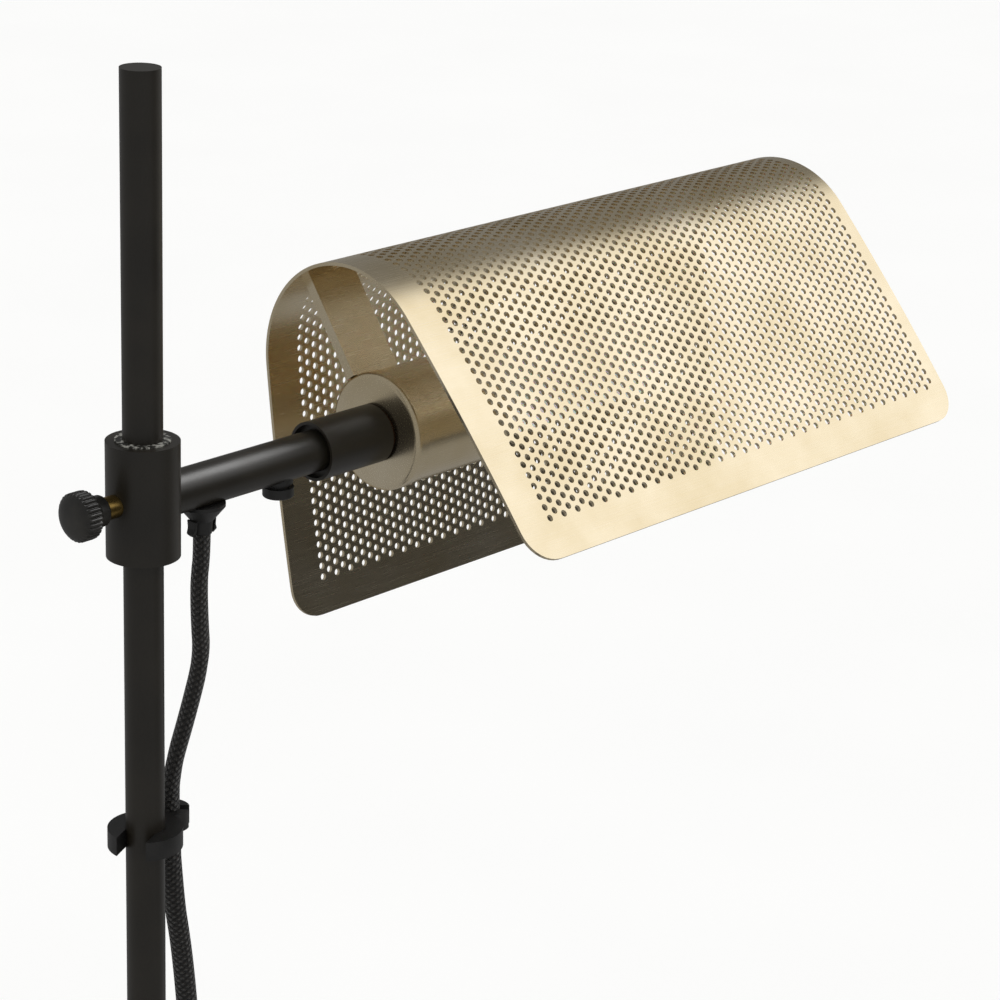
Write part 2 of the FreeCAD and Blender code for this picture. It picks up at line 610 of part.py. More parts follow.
keep_in_place("socket_body", without(
    joined(cylinder("socket_radius", "socket_length", x="socket_start", z="arm_height", along="x"),
           cylinder(CUP_BORE, "socket_flange_height", x="socket_start", z="arm_height", along="x"),
           cylinder(CUP_BORE, "socket_flange_height",
                    x="housing_end - socket_flange_height", z="arm_height", along="x")),
    cylinder("socket_shell_radius", "socket_length", x="socket_start + socket_floor", z="arm_height",
             along="x")))
on_arm("socket_shell", "socket_shell_radius", "socket_shell_radius - socket_shell_wall",
       "socket_start + socket_floor", "socket_shell_length")
keep_in_place("socket_contact", cylinder("socket_contact_height", "socket_contact_height",
                                         x="socket_start + socket_floor", z="arm_height", along="x"))
keep_in_place("bulb_cap", joined(
    cylinder("bulb_cap_radius", "bulb_cap_length - 3", x=CAP_START + " + 3", z="arm_height", along="x"),
    cone("4", "bulb_cap_radius - 1", "3", x=CAP_START, z="arm_height", along="x")))
BULB_START = "(%s + bulb_cap_length)" % CAP_START
bulb = turned_body((
    ("0", "0"),
    ("bulb_cap_radius", "0"),
    ("bulb_radius", "6"),
    ("bulb_radius", "bulb_length"),
    ("0", "bulb_length"),
))
rounded(bulb, "bulb_radius * 0.95", ring_edge("bulb_radius", "bulb_length"))
keep("bulb", bulb, along="x", x=BULB_START, z="arm_height")

# ---- shade and its bracket -----------------------------------------------------------------------
# The shade is bent from one sheet: a crown arc, and two sides that bow out very slightly. The
# outline is drawn with the opening straight down and is then tipped about the arm.


def bent_outline(offset):
    """Points and centres of the bent sheet at an offset inside its outer face, as (across, up)."""
    turn = math.radians(value("crown_angle"))
    bow = value("side_length") / value("side_radius")
    crown = value("crown_radius")
    middle = FreeCAD.Vector(0, value("crown_height"), 0)
    outward = FreeCAD.Vector(math.sin(turn), math.cos(turn), 0)
    side_centre = middle + outward * (crown - value("side_radius"))
    shoulder = middle + outward * (crown - offset)
    low = FreeCAD.Vector(math.sin(turn + bow), math.cos(turn + bow), 0)
    hem = side_centre + low * (value("side_radius") - offset)
    halfway = FreeCAD.Vector(math.sin(turn + bow / 2), math.cos(turn + bow / 2), 0)
    bend = side_centre + halfway * (value("side_radius") - offset)
    return hem, bend, shoulder, middle + FreeCAD.Vector(0, crown - offset, 0)


def mirrored(point):
    return FreeCAD.Vector(-point.x, point.y, 0)


def sheet_arcs(offset):
    """The three arcs of the sheet at an offset, from one hem to the other."""
    hem, bend, shoulder, top = bent_outline(offset)
    return (Part.Arc(hem, bend, shoulder), Part.Arc(shoulder, top, mirrored(shoulder)),
            Part.Arc(mirrored(shoulder), mirrored(bend), mirrored(hem)))


shade = DOC.addObject("PartDesign::Body", "shade_body")
shade_sketch = sketch_in(shade, "XY_Plane")
outer_hem = bent_outline(0)[0]
inner_hem = bent_outline(value("shade_wall"))[0]
for curve in sheet_arcs(0) + sheet_arcs(value("shade_wall")):
    shade_sketch.addGeometry(curve, False)
shade_sketch.addGeometry(Part.LineSegment(outer_hem, inner_hem), False)
shade_sketch.addGeometry(Part.LineSegment(mirrored(outer_hem), mirrored(inner_hem)), False)
for number, (curve, text) in enumerate(((1, "crown_radius"), (4, "crown_radius - shade_wall"))):
    shade_sketch.addConstraint(Sketcher.Constraint("Radius", curve, value(text)))
    shade_sketch.setExpression("Constraints[%d]" % number, linked(text))
shade_pad = shade.newObject("PartDesign::Pad", "shade_pad")
shade_pad.Profile = shade_sketch
shade_pad.setExpression("Length", linked("shade_length"))
rounded(shade, "shade_corner", lambda edge: abs(edge.Length - value("shade_wall")) < 0.01
        and abs(edge.CenterOfMass.z - value("shade_length") / 2) > value("shade_length") / 2 - 0.1)


def on_head(label, piece, start):
    """Tip a piece drawn in (across, up) about the arm, with its own +Z along the arm."""
    upright = FreeCAD.Rotation(FreeCAD.Vector(0, 1, 0), FreeCAD.Vector(0, 0, 1), FreeCAD.Vector(1, 0, 0))
    tip = FreeCAD.Rotation(FreeCAD.Vector(1, 0, 0), -value("head_tilt"))
    piece.Placement = FreeCAD.Placement(FreeCAD.Vector(), tip * upright)
    piece.setExpression("Placement.Base.x", linked(start))
    piece.setExpression("Placement.Base.z", linked("arm_height"))
    piece.Label = label
    PARTS[label] = piece


on_head("shade", shade, "shade_start")

# The bracket is a plate from the cup to the inside of the crown. It is cut to both curves.
bracket = DOC.addObject("Part::Feature", "bracket")
lean = math.radians(value("bracket_turned"))
reach = FreeCAD.Vector(0, math.sin(lean), math.cos(lean))
side = FreeCAD.Vector(0, math.cos(lean), -math.sin(lean))
half = value("bracket_thickness") / 2
blank = Part.Face(Part.makePolygon([side * half, side * half + reach * 90, side * -half + reach * 90,
                                    side * -half, side * half]))
plate = blank.extrude(FreeCAD.Vector(value("bracket_length"), 0, 0))
plate.translate(FreeCAD.Vector(value(LID_FACE), 0, value("arm_height")))
DOC.recompute()
inner_arcs = [curve.toShape() for curve in sheet_arcs(value("shade_wall"))]
inner_wire = Part.Wire(inner_arcs + [Part.LineSegment(mirrored(inner_hem), inner_hem).toShape()])
inside = Part.Face(inner_wire).extrude(FreeCAD.Vector(0, 0, value("shade_length")))
inside.Placement = shade.Placement
plate = plate.common(inside)
AXIS_START = FreeCAD.Vector(value(LID_FACE), 0, value("arm_height"))
ALONG_ARM = FreeCAD.Vector(1, 0, 0)
for radius, depth in (("housing_radius", "housing_lid_depth"), (CUP_RADIUS, "bracket_length")):
    plate = plate.cut(Part.makeCylinder(value(radius), value(depth), AXIS_START, ALONG_ARM))
bracket.Shape = plate
keep_in_place("shade_bracket", bracket)

# ---- cord clips ----------------------------------------------------------------------------------


def clip(height, gap):
    """A moulded double C: the large one grips the pole, the small one holds the cord."""
    floor = "%g - clip_height / 2" % height
    grip = joined(cylinder("clip_radius", "clip_height", z=floor),
                  cylinder("hook_radius", "clip_height", x="hook_place", y="hook_side", z=floor))
    mouth = box("2 * clip_radius", "clip_mouth_width", "clip_height", z=floor)
    mouth.Placement = FreeCAD.Placement(FreeCAD.Vector(), FreeCAD.Rotation(
        FreeCAD.Vector(0, 0, 1), value("clip_mouth_turned")))
    sideways = math.radians(value("clip_mouth_turned") + 90)
    mouth.setExpression("Placement.Base.x", linked("-clip_mouth_width / 2 * %.6f" % math.cos(sideways)))
    mouth.setExpression("Placement.Base.y", linked("-clip_mouth_width / 2 * %.6f" % math.sin(sideways)))
    mouth.setExpression("Placement.Base.z", linked(floor))
    slot = box("2 * hook_radius", "hook_mouth_width", "clip_height", z=floor)
    slot.Placement = FreeCAD.Placement(FreeCAD.Vector(), FreeCAD.Rotation(
        FreeCAD.Vector(0, 0, 1), value("hook_mouth_turned")))
    aside = math.radians(value("hook_mouth_turned") + 90)
    slot.setExpression("Placement.Base.x",
                       linked("hook_place - hook_mouth_width / 2 * %.6f" % math.cos(aside)))
    slot.setExpression("Placement.Base.y",
                       linked("hook_side - hook_mouth_width / 2 * %.6f" % math.sin(aside)))
    slot.setExpression("Placement.Base.z", linked(floor))
    return without(grip, cylinder("pole_radius + " + gap, "clip_height", z=floor), mouth, slot,
                   cylinder("hook_bore", "clip_height", x="hook_place", y="hook_side", z=floor))


keep_in_place("top_cord_clip", clip(CLIP_HEIGHTS[0], "running_gap"))
for number, height in enumerate(CLIP_HEIGHTS[1:], start=1):
    keep_in_place("cord_clip_%d" % number, clip(height, "0"))

# ---- cord ----------------------------------------------------------------------------------------
# The free cord is split at the first two clips, because the collar carries the first one along.
# Points are chosen by hand.

UPPER_ROUTE = (
    (25.0, 0.0, 1193.4), (25.0, 0.0, 1185.6), (23.7, 0.0, 1177.0), (24.2, 0.2, 1163.0),
    (25.8, 0.8, 1149.0), (21.4, 2.6, 1130.0), (16.2, 5.0, 1110.0), (15.6, 5.5, 1095.0),
    (15.7, 5.5, 1086.0),
)
MIDDLE_ROUTE = (
    (15.7, 5.5, 1086.0), (15.9, 5.5, 1068.0), (20.8, 4.4, 1036.0), (24.0, 3.4, 986.0),
    (20.4, 4.2, 930.0), (16.2, 5.3, 886.0), (15.7, 5.5, 853.0),
)
LOWER_ROUTE = (
    (15.7, 5.5, 853.0), (15.23, 5.69, 822.0), (20.8, 4.6, 768.0), (22.8, 3.0, 708.0),
    (18.6, 3.6, 655.0), (15.2, 5.2, 611.0), (16.6, 5.8, 568.0), (21.4, 3.8, 513.0),
    (22.2, 3.2, 455.0), (18.4, 4.4, 405.0), (15.2, 5.4, 361.0), (16.2, 6.0, 318.0),
    (20.8, 4.6, 264.0), (21.0, 4.0, 210.0), (17.4, 4.2, 166.0), (15.3, 5.3, 126.5),
    (17.4, 9.5, 95.0), (23.5, 19.0, 64.0), (35.5, 33.5, 39.0), (49.5, 53.0, 24.4),
    (62.5, 77.5, 21.3), (71.2, 104.0, 19.2), (79.4, 130.2, 7.2), (88.8, 156.3, 3.4),
)
TAIL_ROUTE = ((167.7, 129.1, 13.0), (163.6, 115.5, 11.6), (158.6, 99.0, 9.4), (154.2, 82.8, 8.0))


def rounded_path(points):
    """Straight runs joined by tangent arcs, each arc as large as its two runs allow."""
    spots = [FreeCAD.Vector(*point) for point in points]
    edges = []
    start = spots[0]
    tightest = None
    for before, corner, after in zip(spots, spots[1:], spots[2:]):
        into = (before - corner).normalize()
        out = (after - corner).normalize()
        turn = math.pi - into.getAngle(out)
        reach_back = 0.45 * min((before - corner).Length, (after - corner).Length)
        radius = reach_back / math.tan(turn / 2)
        tightest = radius if tightest is None else min(tightest, radius)
        first = corner + into * reach_back
        last = corner + out * reach_back
        bisector = (into + out).normalize()
        middle = corner + bisector * (radius / math.cos(turn / 2) - radius)
        edges.append(Part.LineSegment(start, first).toShape())
        edges.append(Part.Arc(first, middle, last).toShape())
        start = last
    edges.append(Part.LineSegment(start, spots[-1]).toShape())
    path = Part.Wire(edges)
    return path, path.Length, tightest


def cord(label, points, radius):
    """A round tube along a route. It prints its length, its tightest arc and its volume's error."""
    path, length, tightest = rounded_path(points)
    start = FreeCAD.Vector(*points[0])
    ahead = FreeCAD.Vector(*points[1]) - start
    section = Part.Wire(Part.makeCircle(radius, start, ahead))
    solid = path.makePipeShell([section], True, True)
    if solid.Volume < 0:
        solid.reverse()
    error = solid.Volume / (math.pi * radius ** 2 * length) - 1
    print("%s: %.0f mm long, tightest arc %.1f mm, volume off by %.3f%%"
          % (label, length, tightest, 100 * error))
    feature = DOC.addObject("Part::Feature", label)
    feature.Shape = solid
    PARTS[label] = feature


cord("cord_upper", UPPER_ROUTE, value("cord_radius"))
cord("cord_middle", MIDDLE_ROUTE, value("cord_radius"))
cord("cord_lower", LOWER_ROUTE, value("cord_radius"))
cord("cord_tail", TAIL_ROUTE, value("cord_radius"))

# Inside the arm the two cores run over the switch and through the nipple into the cup.
LEAD_ROUTE = (
    (28.4, 0.0, 1208.6), (33.5, 0.0, 1209.8), (41.0, 0.0, 1213.1), (50.0, 0.0, 1214.3),
    (68.0, 0.0, 1214.2), (84.0, 0.0, 1212.2), (98.0, 0.0, 1210.3), (111.0, 0.0, 1210.0),
    (121.5, 0.0, 1210.0),
)
cord("inner_lead", LEAD_ROUTE, 1.3)

keep("cord_coil", tube("coil_radius + coil_half_width", "coil_radius - coil_half_width", "coil_height"),
     x="coil_x", y="coil_y")
DOC.recompute()
for label in ("cord_lower", "cord_tail"):
    PARTS[label].Shape = PARTS[label].Shape.cut(PARTS["cord_coil"].Shape).Solids[0]
TIE_REACH = "(coil_half_width + tie_wall)"
keep("coil_tie", without(
    box("2 * " + TIE_REACH, "tie_width", "coil_height + tie_wall",
        x="coil_x + coil_radius - " + TIE_REACH, y="coil_y"),
    box("2 * coil_half_width", "2 * tie_width", "coil_height",
        x="coil_x + coil_radius - coil_half_width", y="coil_y"),
    tube("coil_radius + coil_half_width", "coil_radius - coil_half_width", "coil_height",
         x="coil_x", y="coil_y")))
# ---- plug ----------------------------------------------------------------------------------------


def on_floor(piece, ahead, aside, up):
    """Place a piece in the plug's own frame: ahead along its blades, aside, and up from the floor."""
    heading = math.radians(value("plug_turned"))
    forward = FreeCAD.Vector(math.cos(heading), math.sin(heading), 0)
    left = FreeCAD.Vector(-math.sin(heading), math.cos(heading), 0)
    origin = FreeCAD.Vector(value("plug_x"), value("plug_y"), 0)
    piece.Placement = FreeCAD.Placement(origin + forward * ahead + left * aside
                                        + FreeCAD.Vector(0, 0, up),
                                        FreeCAD.Rotation(FreeCAD.Vector(0, 0, 1), value("plug_turned")))
    return piece


def bare_box(length, width, height):
    piece = DOC.addObject("Part::Box", "bare_box")
    for side_name, text in (("Length", length), ("Width", width), ("Height", height)):
        piece.setExpression(side_name, linked(text))
    return piece


plug = on_floor(bare_box("plug_length", "plug_width", "plug_height"), 0, -value("plug_width") / 2, 0)
keep_in_place("plug_body", plug)
blades = DOC.addObject("Part::Compound", "blades")
blades.Links = [on_floor(bare_box("blade_length", "blade_thickness", "blade_width"), value("plug_length"),
                         hand * value("blade_spacing") / 2 - value("blade_thickness") / 2,
                         (value("plug_height") - value("blade_width")) / 2) for hand in (-1, 1)]
keep_in_place("plug_blades", blades)

# ---- check and export ----------------------------------------------------------------------------

DOC.recompute()
faults = ["%s: %s" % (item.Label, item.State) for item in DOC.Objects
          if "Invalid" in item.State or "Error" in item.State]
for label, piece in PARTS.items():
    if piece.Shape.isNull() or not piece.Shape.isValid() or piece.Shape.Volume <= 0:
        faults.append(label + ": bad shape")
if faults:
    raise RuntimeError("; ".join(faults))

os.makedirs("parts", exist_ok=True)
for label, piece in PARTS.items():
    piece.Shape.exportStep("parts/%s.step" % label)
print("%d pieces" % len(PARTS))
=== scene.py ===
# %% [markdown]
# # A pharmacy floor lamp
# A slim black pole carries a clamping collar, a short arm and a long perforated brass shade.
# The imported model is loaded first, because it fixes every size and every joint. This lesson then
# gives each piece its finish, and remakes the pieces that a plain solid can't show: the punched
# shade, the braided cord, the fluted knob and the moulded plug. It also adds the gland's two fins.

# %% Load the frame
import math
import bmesh
import bpy
from mathutils import Matrix, Vector


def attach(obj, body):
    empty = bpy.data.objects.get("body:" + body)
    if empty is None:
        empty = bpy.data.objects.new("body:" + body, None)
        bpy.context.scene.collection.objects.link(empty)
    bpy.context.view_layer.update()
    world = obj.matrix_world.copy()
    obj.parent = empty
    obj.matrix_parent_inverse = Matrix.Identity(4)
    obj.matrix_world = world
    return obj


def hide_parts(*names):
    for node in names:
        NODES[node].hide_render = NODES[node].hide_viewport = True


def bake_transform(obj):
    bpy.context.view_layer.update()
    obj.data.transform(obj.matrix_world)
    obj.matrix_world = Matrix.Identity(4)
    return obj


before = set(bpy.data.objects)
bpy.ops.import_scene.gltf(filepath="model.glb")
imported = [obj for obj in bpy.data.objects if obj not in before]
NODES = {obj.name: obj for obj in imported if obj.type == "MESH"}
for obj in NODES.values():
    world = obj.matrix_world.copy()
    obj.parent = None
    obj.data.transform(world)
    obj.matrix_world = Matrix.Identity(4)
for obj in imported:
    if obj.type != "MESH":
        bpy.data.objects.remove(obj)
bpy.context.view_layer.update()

MM = 0.001

# %% [markdown]
# ## Camera
# The view is the one a buyer gets: a long lens, a little above the arm, looking down at the head.
# A long lens keeps the pole's sides parallel. The three turns are easier to adjust than a matrix,
# so the camera's axes are worked out from them.

# %% Camera
CAMERA_PLACE = Vector((-0.59225, -0.68614, 1.53968))
LENS_MM, SENSOR_MM = 108.37, 36.0
TURN, TILT, ROLL = math.radians(42.01), math.radians(-19.85), math.radians(2.07)
forward = Vector((math.cos(TILT) * math.cos(TURN), math.cos(TILT) * math.sin(TURN), math.sin(TILT)))
level = forward.cross(Vector((0, 0, 1))).normalized()
above = level.cross(forward)
across = level * math.cos(ROLL) + above * math.sin(ROLL)
upward = above * math.cos(ROLL) - level * math.sin(ROLL)
camera = bpy.data.objects.new("camera", bpy.data.cameras.new("camera"))
camera.data.lens, camera.data.sensor_width = LENS_MM, SENSOR_MM
camera.data.clip_end = 100.0
camera.matrix_world = Matrix.Translation(CAMERA_PLACE) @ Matrix(
    (across, upward, -forward)).transposed().to_4x4()
bpy.context.scene.collection.objects.link(camera)
bpy.context.scene.camera = camera
print("camera looks down by %.1f degrees" % -math.degrees(TILT))

# %% [markdown]
# ## Small tools
# Colours are picked on screen as sRGB, but shaders work in linear light, so one function converts
# them. Another adds a shader node with its settings and links in one line, which keeps each
# material short enough to read. The last two make objects: one puts data in the scene, and one
# closes a skin over a stack of rings.

# %% Colour and node helpers
def linear(code):
    """Turn an sRGB hex colour into the linear colour that shaders use."""
    parts = [int(code[i:i + 2], 16) / 255 for i in (1, 3, 5)]
    return [p / 12.92 if p <= 0.04045 else ((p + 0.055) / 1.055) ** 2.4 for p in parts] + [1.0]


def add(tree, kind, inputs=None, **settings):
    """Add a node. inputs maps a socket's name or number to a value or to another node's output."""
    made = tree.nodes.new(kind)
    for name, setting in settings.items():
        setattr(made, name, setting)
    for socket, given in (inputs or {}).items():
        if isinstance(given, bpy.types.NodeSocket):
            tree.links.new(given, made.inputs[socket])
        else:
            made.inputs[socket].default_value = given
    return made


def finish(name, **fixed):
    """A material with one Principled shader, whose fixed values sit on its own sockets."""
    material = bpy.data.materials.new(name)
    material.use_nodes = True
    tree = material.node_tree
    shader = tree.nodes["Principled BSDF"]
    for socket, given in fixed.items():
        shader.inputs[socket.replace("_", " ")].default_value = given
    return material, tree, shader


def blended(tree, factor, low, high):
    """A colour between two hex colours, chosen by a number from 0 to 1."""
    mix = add(tree, "ShaderNodeMix", {0: factor, 6: linear(low), 7: linear(high)}, data_type="RGBA")
    return mix.outputs[2]


def noise(tree, size_mm, detail=3.0, stretch=(1, 1, 1)):
    """Noise on the object's own coordinates, with features of a real size."""
    place = add(tree, "ShaderNodeTexCoord").outputs["Object"]
    scaled = add(tree, "ShaderNodeMapping", {"Vector": place, "Scale": stretch})
    made = add(tree, "ShaderNodeTexNoise", {"Vector": scaled.outputs[0], "Scale": 1 / (size_mm * MM),
                                            "Detail": detail})
    return made.outputs["Fac"]


def spread(tree, value, low, high, to_low, to_high):
    """Stretch a range of numbers onto another range."""
    made = add(tree, "ShaderNodeMapRange", {0: value, 1: low, 2: high, 3: to_low, 4: to_high})
    return made.outputs[0]


def raised(tree, shader, height, depth_mm, strength=1.0):
    """Use a number as a bump of a real depth."""
    bump = add(tree, "ShaderNodeBump", {"Height": height, "Distance": depth_mm * MM,
                                        "Strength": strength})
    tree.links.new(bump.outputs[0], shader.inputs["Normal"])


# %% Object helpers
def linked(name, data):
    """An object made from its data, and put in the scene."""
    made = bpy.data.objects.new(name, data)
    bpy.context.scene.collection.objects.link(made)
    return made


def skinned(name, rings, material, smooth=True, bevel_mm=0.0):
    """A closed skin over a stack of rings, which all have the same number of points."""
    shape = bmesh.new()
    rows = [[shape.verts.new(point) for point in ring] for ring in rings]
    for row, after in zip(rows, rows[1:]):
        for number in range(len(row)):
            beside = (number + 1) % len(row)
            face = shape.faces.new((row[number], row[beside], after[beside], after[number]))
            face.smooth = smooth
    shape.faces.new(rows[0])
    shape.faces.new(rows[-1])
    bmesh.ops.recalc_face_normals(shape, faces=shape.faces)
    if bevel_mm:
        bmesh.ops.bevel(shape, geom=shape.edges[:], offset=bevel_mm * MM, segments=2, affect="EDGES")
    mesh = bpy.data.meshes.new(name)
    shape.to_mesh(mesh)
    shape.free()
    mesh.materials.append(material)
    return linked(name, mesh)


def eased(share):
    """A share from 0 to 1 that starts and stops gently."""
    return share * share * (3 - 2 * share)


# %% [markdown]
# ## Finishes
# Each finish starts from what the real one is. The pole and arm are powder coated: the coat is
# dark and satin, and its surface has a very fine orange peel. The shade is brass that was brushed
# along its length and darkened a little, so it is bright where it faces the light and olive where
# it doesn't.

# %% Powder coat
def powder_coat():
    """Satin black powder coat: near black, a fine orange peel, a soft wide highlight."""
    material, tree, shader = finish("satin_black_powder_coat", Specular_IOR_Level=0.5)
    peel = noise(tree, 0.6, 2.0)
    cloud = noise(tree, 22.0, 3.0)
    tree.links.new(blended(tree, spread(tree, cloud, 0.3, 0.7, 0, 1), "#16130d", "#1d1911"),
                   shader.inputs["Base Color"])
    tree.links.new(spread(tree, cloud, 0.3, 0.7, 0.36, 0.42), shader.inputs["Roughness"])
    raised(tree, shader, peel, 0.012, 0.5)
    return material


# %% Brushed brass
def brushed_brass():
    """Brass, brushed along its length and darkened: long fine streaks and soft cloudy tarnish."""
    material, tree, shader = finish("brushed_antique_brass", Metallic=1.0)
    streak = noise(tree, 0.35, 2.0, (0.02, 1, 1))
    cloud = noise(tree, 30.0, 4.0)
    fine = add(tree, "ShaderNodeMath", {0: streak, 1: 0.3}, operation="MULTIPLY").outputs[0]
    tone = add(tree, "ShaderNodeMath", {0: cloud, 1: fine}, operation="ADD").outputs[0]
    tree.links.new(blended(tree, spread(tree, tone, 0.4, 0.9, 0, 1), "#d9c8a4", "#ecdfc4"),
                   shader.inputs["Base Color"])
    tree.links.new(spread(tree, streak, 0.3, 0.7, 0.22, 0.28), shader.inputs["Roughness"])
    raised(tree, shader, streak, 0.002, 0.2)
    return material


# %% Plastics, steel and the small finishes
def moulded_plastic(name, low, high, rough=0.45, grain_mm=0.4):
    """Moulded plastic: an even colour with a faint grain from the mould."""
    material, tree, shader = finish(name, IOR=1.46)
    grain = noise(tree, grain_mm, 2.0)
    cloud = noise(tree, 9.0, 2.0)
    tree.links.new(blended(tree, spread(tree, cloud, 0.3, 0.7, 0, 1), low, high),
                   shader.inputs["Base Color"])
    tree.links.new(spread(tree, grain, 0.3, 0.7, rough - 0.06, rough + 0.06),
                   shader.inputs["Roughness"])
    raised(tree, shader, grain, 0.012, 0.5)
    return material


def turned_metal(name, low, high, rough, ring_mm=0.3):
    """Turned or plated metal: tight tool marks and a little staining."""
    material, tree, shader = finish(name, Metallic=1.0)
    mark = noise(tree, ring_mm, 2.0)
    cloud = noise(tree, 8.0, 3.0)
    tree.links.new(blended(tree, spread(tree, cloud, 0.3, 0.7, 0, 1), low, high),
                   shader.inputs["Base Color"])
    tree.links.new(spread(tree, mark, 0.3, 0.7, rough - 0.07, rough + 0.07),
                   shader.inputs["Roughness"])
    raised(tree, shader, mark, 0.006, 0.5)
    return material


def rough_surface(name, low, high, size_mm, depth_mm, rough):
    """Felt, castings and fibre: matt, with relief that is large next to a moulded part's."""
    material, tree, shader = finish(name)
    lumps = noise(tree, size_mm, 5.0)
    tree.links.new(blended(tree, spread(tree, lumps, 0.3, 0.7, 0, 1), low, high),
                   shader.inputs["Base Color"])
    tree.links.new(spread(tree, lumps, 0.3, 0.7, rough - 0.05, rough), shader.inputs["Roughness"])
    raised(tree, shader, lumps, depth_mm)
    return material


def opal_glass():
    """Opal glass: milky white, glossy outside, with light spreading inside it."""
    material, tree, shader = finish("opal_glass", IOR=1.5, Roughness=0.12, Subsurface_Weight=0.4,
                                    Subsurface_Scale=0.004)
    haze = noise(tree, 12.0, 2.0)
    tree.links.new(blended(tree, haze, "#e9e7e0", "#f8f7f3"), shader.inputs["Base Color"])
    return material


def worn_rim():
    """The bush's rim, scraped pale where the collar is slid up and down the pole."""
    material, tree, shader = finish("scraped_nylon_rim", Roughness=0.5)
    scrape = noise(tree, 1.6, 6.0, (1, 1, 0.4))
    tree.links.new(blended(tree, spread(tree, scrape, 0.48, 0.62, 0, 1), "#201f1b", "#a3a29a"),
                   shader.inputs["Base Color"])
    raised(tree, shader, scrape, 0.15)
    return material


PAINT = powder_coat()
WORN = worn_rim()
BRASS = brushed_brass()
TURNED_BRASS = turned_metal("turned_brass", "#8d7440", "#b89a5c", 0.3)
STEEL = turned_metal("zinc_plated_steel", "#8f9092", "#b4b5b6", 0.32)
CONTACT = turned_metal("nickel_plated_brass", "#b3aa90", "#cfc8b4", 0.25)
MOULDED = moulded_plastic("moulded_black_plastic", "#141413", "#1e1d1c")
KNOB = moulded_plastic("satin_black_knob", "#161513", "#262420", 0.36, 0.25)
NYLON = moulded_plastic("moulded_nylon", "#1d1c1a", "#2a2926", 0.5)
LEAD = moulded_plastic("silicone_lead", "#6d6a64", "#85827b", 0.4, 0.8)
FELT = rough_surface("pressed_felt", "#1a1a1a", "#2b2b2a", 0.8, 0.3, 0.98)
IRON = rough_surface("grey_cast_iron", "#2c2b2a", "#454341", 1.5, 0.25, 0.8)
FIBRE = rough_surface("vulcanised_fibre", "#3a2117", "#54331f", 0.5, 0.05, 0.75)
PORCELAIN = moulded_plastic("glazed_porcelain", "#dedbd2", "#efede6", 0.16, 3.0)
GLASS = opal_glass()
print("%d finishes" % len(bpy.data.materials))

# %% [markdown]
# ## Give the solid pieces their finish
# Most pieces are already right: tubes, nuts and the foot are plain turned shapes. They keep the
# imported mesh, and each gets the finish of its real part.

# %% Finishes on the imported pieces
FINISH_OF = {
    PAINT: ("base_cover", "foot_collar", "lower_pole", "middle_pole", "upper_pole", "pole_cap",
            "collar", "arm_tube", "sleeve"),
    MOULDED: ("cord_gland", "strain_relief", "switch_neck", "switch_body", "switch_button",
              "coil_tie", "plug_body", "top_cord_clip", "cord_clip_1", "cord_clip_2",
              "cord_clip_3", "cord_clip_4"),
    KNOB: ("thumb_knob",),
    TURNED_BRASS: ("thumb_screw", "plug_blades"),
    BRASS: ("housing_lid", "housing_cup", "shade_bracket", "shade"),
    STEEL: ("foot_washer", "foot_nut", "foot_stud", "foot_insert", "pole_joiners",
            "swivel_nipple", "spring_washer", "swivel_nut"),
    CONTACT: ("socket_shell", "socket_contact", "bulb_cap"),
    NYLON: ("lower_bush", "clamp_pad"), WORN: ("upper_bush",),
    FELT: ("base_pad",), IRON: ("base_weight",), FIBRE: ("friction_washer",),
    PORCELAIN: ("socket_body",), GLASS: ("bulb",), LEAD: ("inner_lead",),
}
for material, names in FINISH_OF.items():
    for name in names:
        node = NODES[name]
        node.data.materials.clear()
        node.data.materials.append(material)
print("%d packed pieces finished" % sum(len(names) for names in FINISH_OF.values()))

# %% [markdown]
# ## Braided cord
# The cord is two insulated cores side by side inside a black textile braid, so it is oval: wider
# than it is thick. It could be a round bevelled curve, but then the flat side and the twist would
# be lost. Here a smooth spline gives the path, and an oval section is carried along it. The braid
# itself is drawn by a pattern on the cord's own UV map: u runs round it from 0 to 1, and v runs
# along it in metres. The pattern is coarser and deeper than real thread. Real braid of this size
# has finer ribbons and about a tenth of this relief, which wouldn't show from a metre away.

# %% Braid finish
BRAID_RIBBONS, BRAID_PITCH, BRAID_RELIEF_MM = 16.0, 0.018, 0.9


def braid():
    """Polyester braid: flat ribbons of thread cross over and under. Its colour is painted darker in
    the gaps between ribbons and lighter on their crests, as painted shade and a painted sheen.
    """
    material, tree, shader = finish("black_textile_braid", Roughness=0.5, Sheen_Weight=0.15,
                                    Sheen_Roughness=0.4)
    uv = add(tree, "ShaderNodeUVMap", uv_map="along").outputs[0]
    parts = add(tree, "ShaderNodeSeparateXYZ", {0: uv})

    def maths(operation, first, second=0.0):
        return add(tree, "ShaderNodeMath", {0: first, 1: second}, operation=operation).outputs[0]

    round_it = maths("MULTIPLY", parts.outputs[0], BRAID_RIBBONS)
    along_it = maths("MULTIPLY", parts.outputs[1], BRAID_RIBBONS / BRAID_PITCH)
    left = maths("PINGPONG", maths("ADD", round_it, along_it), 1.0)
    right = maths("PINGPONG", maths("SUBTRACT", round_it, along_it), 1.0)
    weave_and_painted_shade = maths("MULTIPLY", left, right)
    thread = noise(tree, 0.25, 1.0)
    height = maths("ADD", weave_and_painted_shade, maths("MULTIPLY", thread, 0.2))
    # The colour follows the weave: painted shade in the gaps between ribbons, a painted sheen on their
    # crests.
    tree.links.new(blended(tree, weave_and_painted_shade, "#070605", "#35302a"), shader.inputs["Base Color"])
    raised(tree, shader, height, BRAID_RELIEF_MM)
    return material


BRAID = braid()

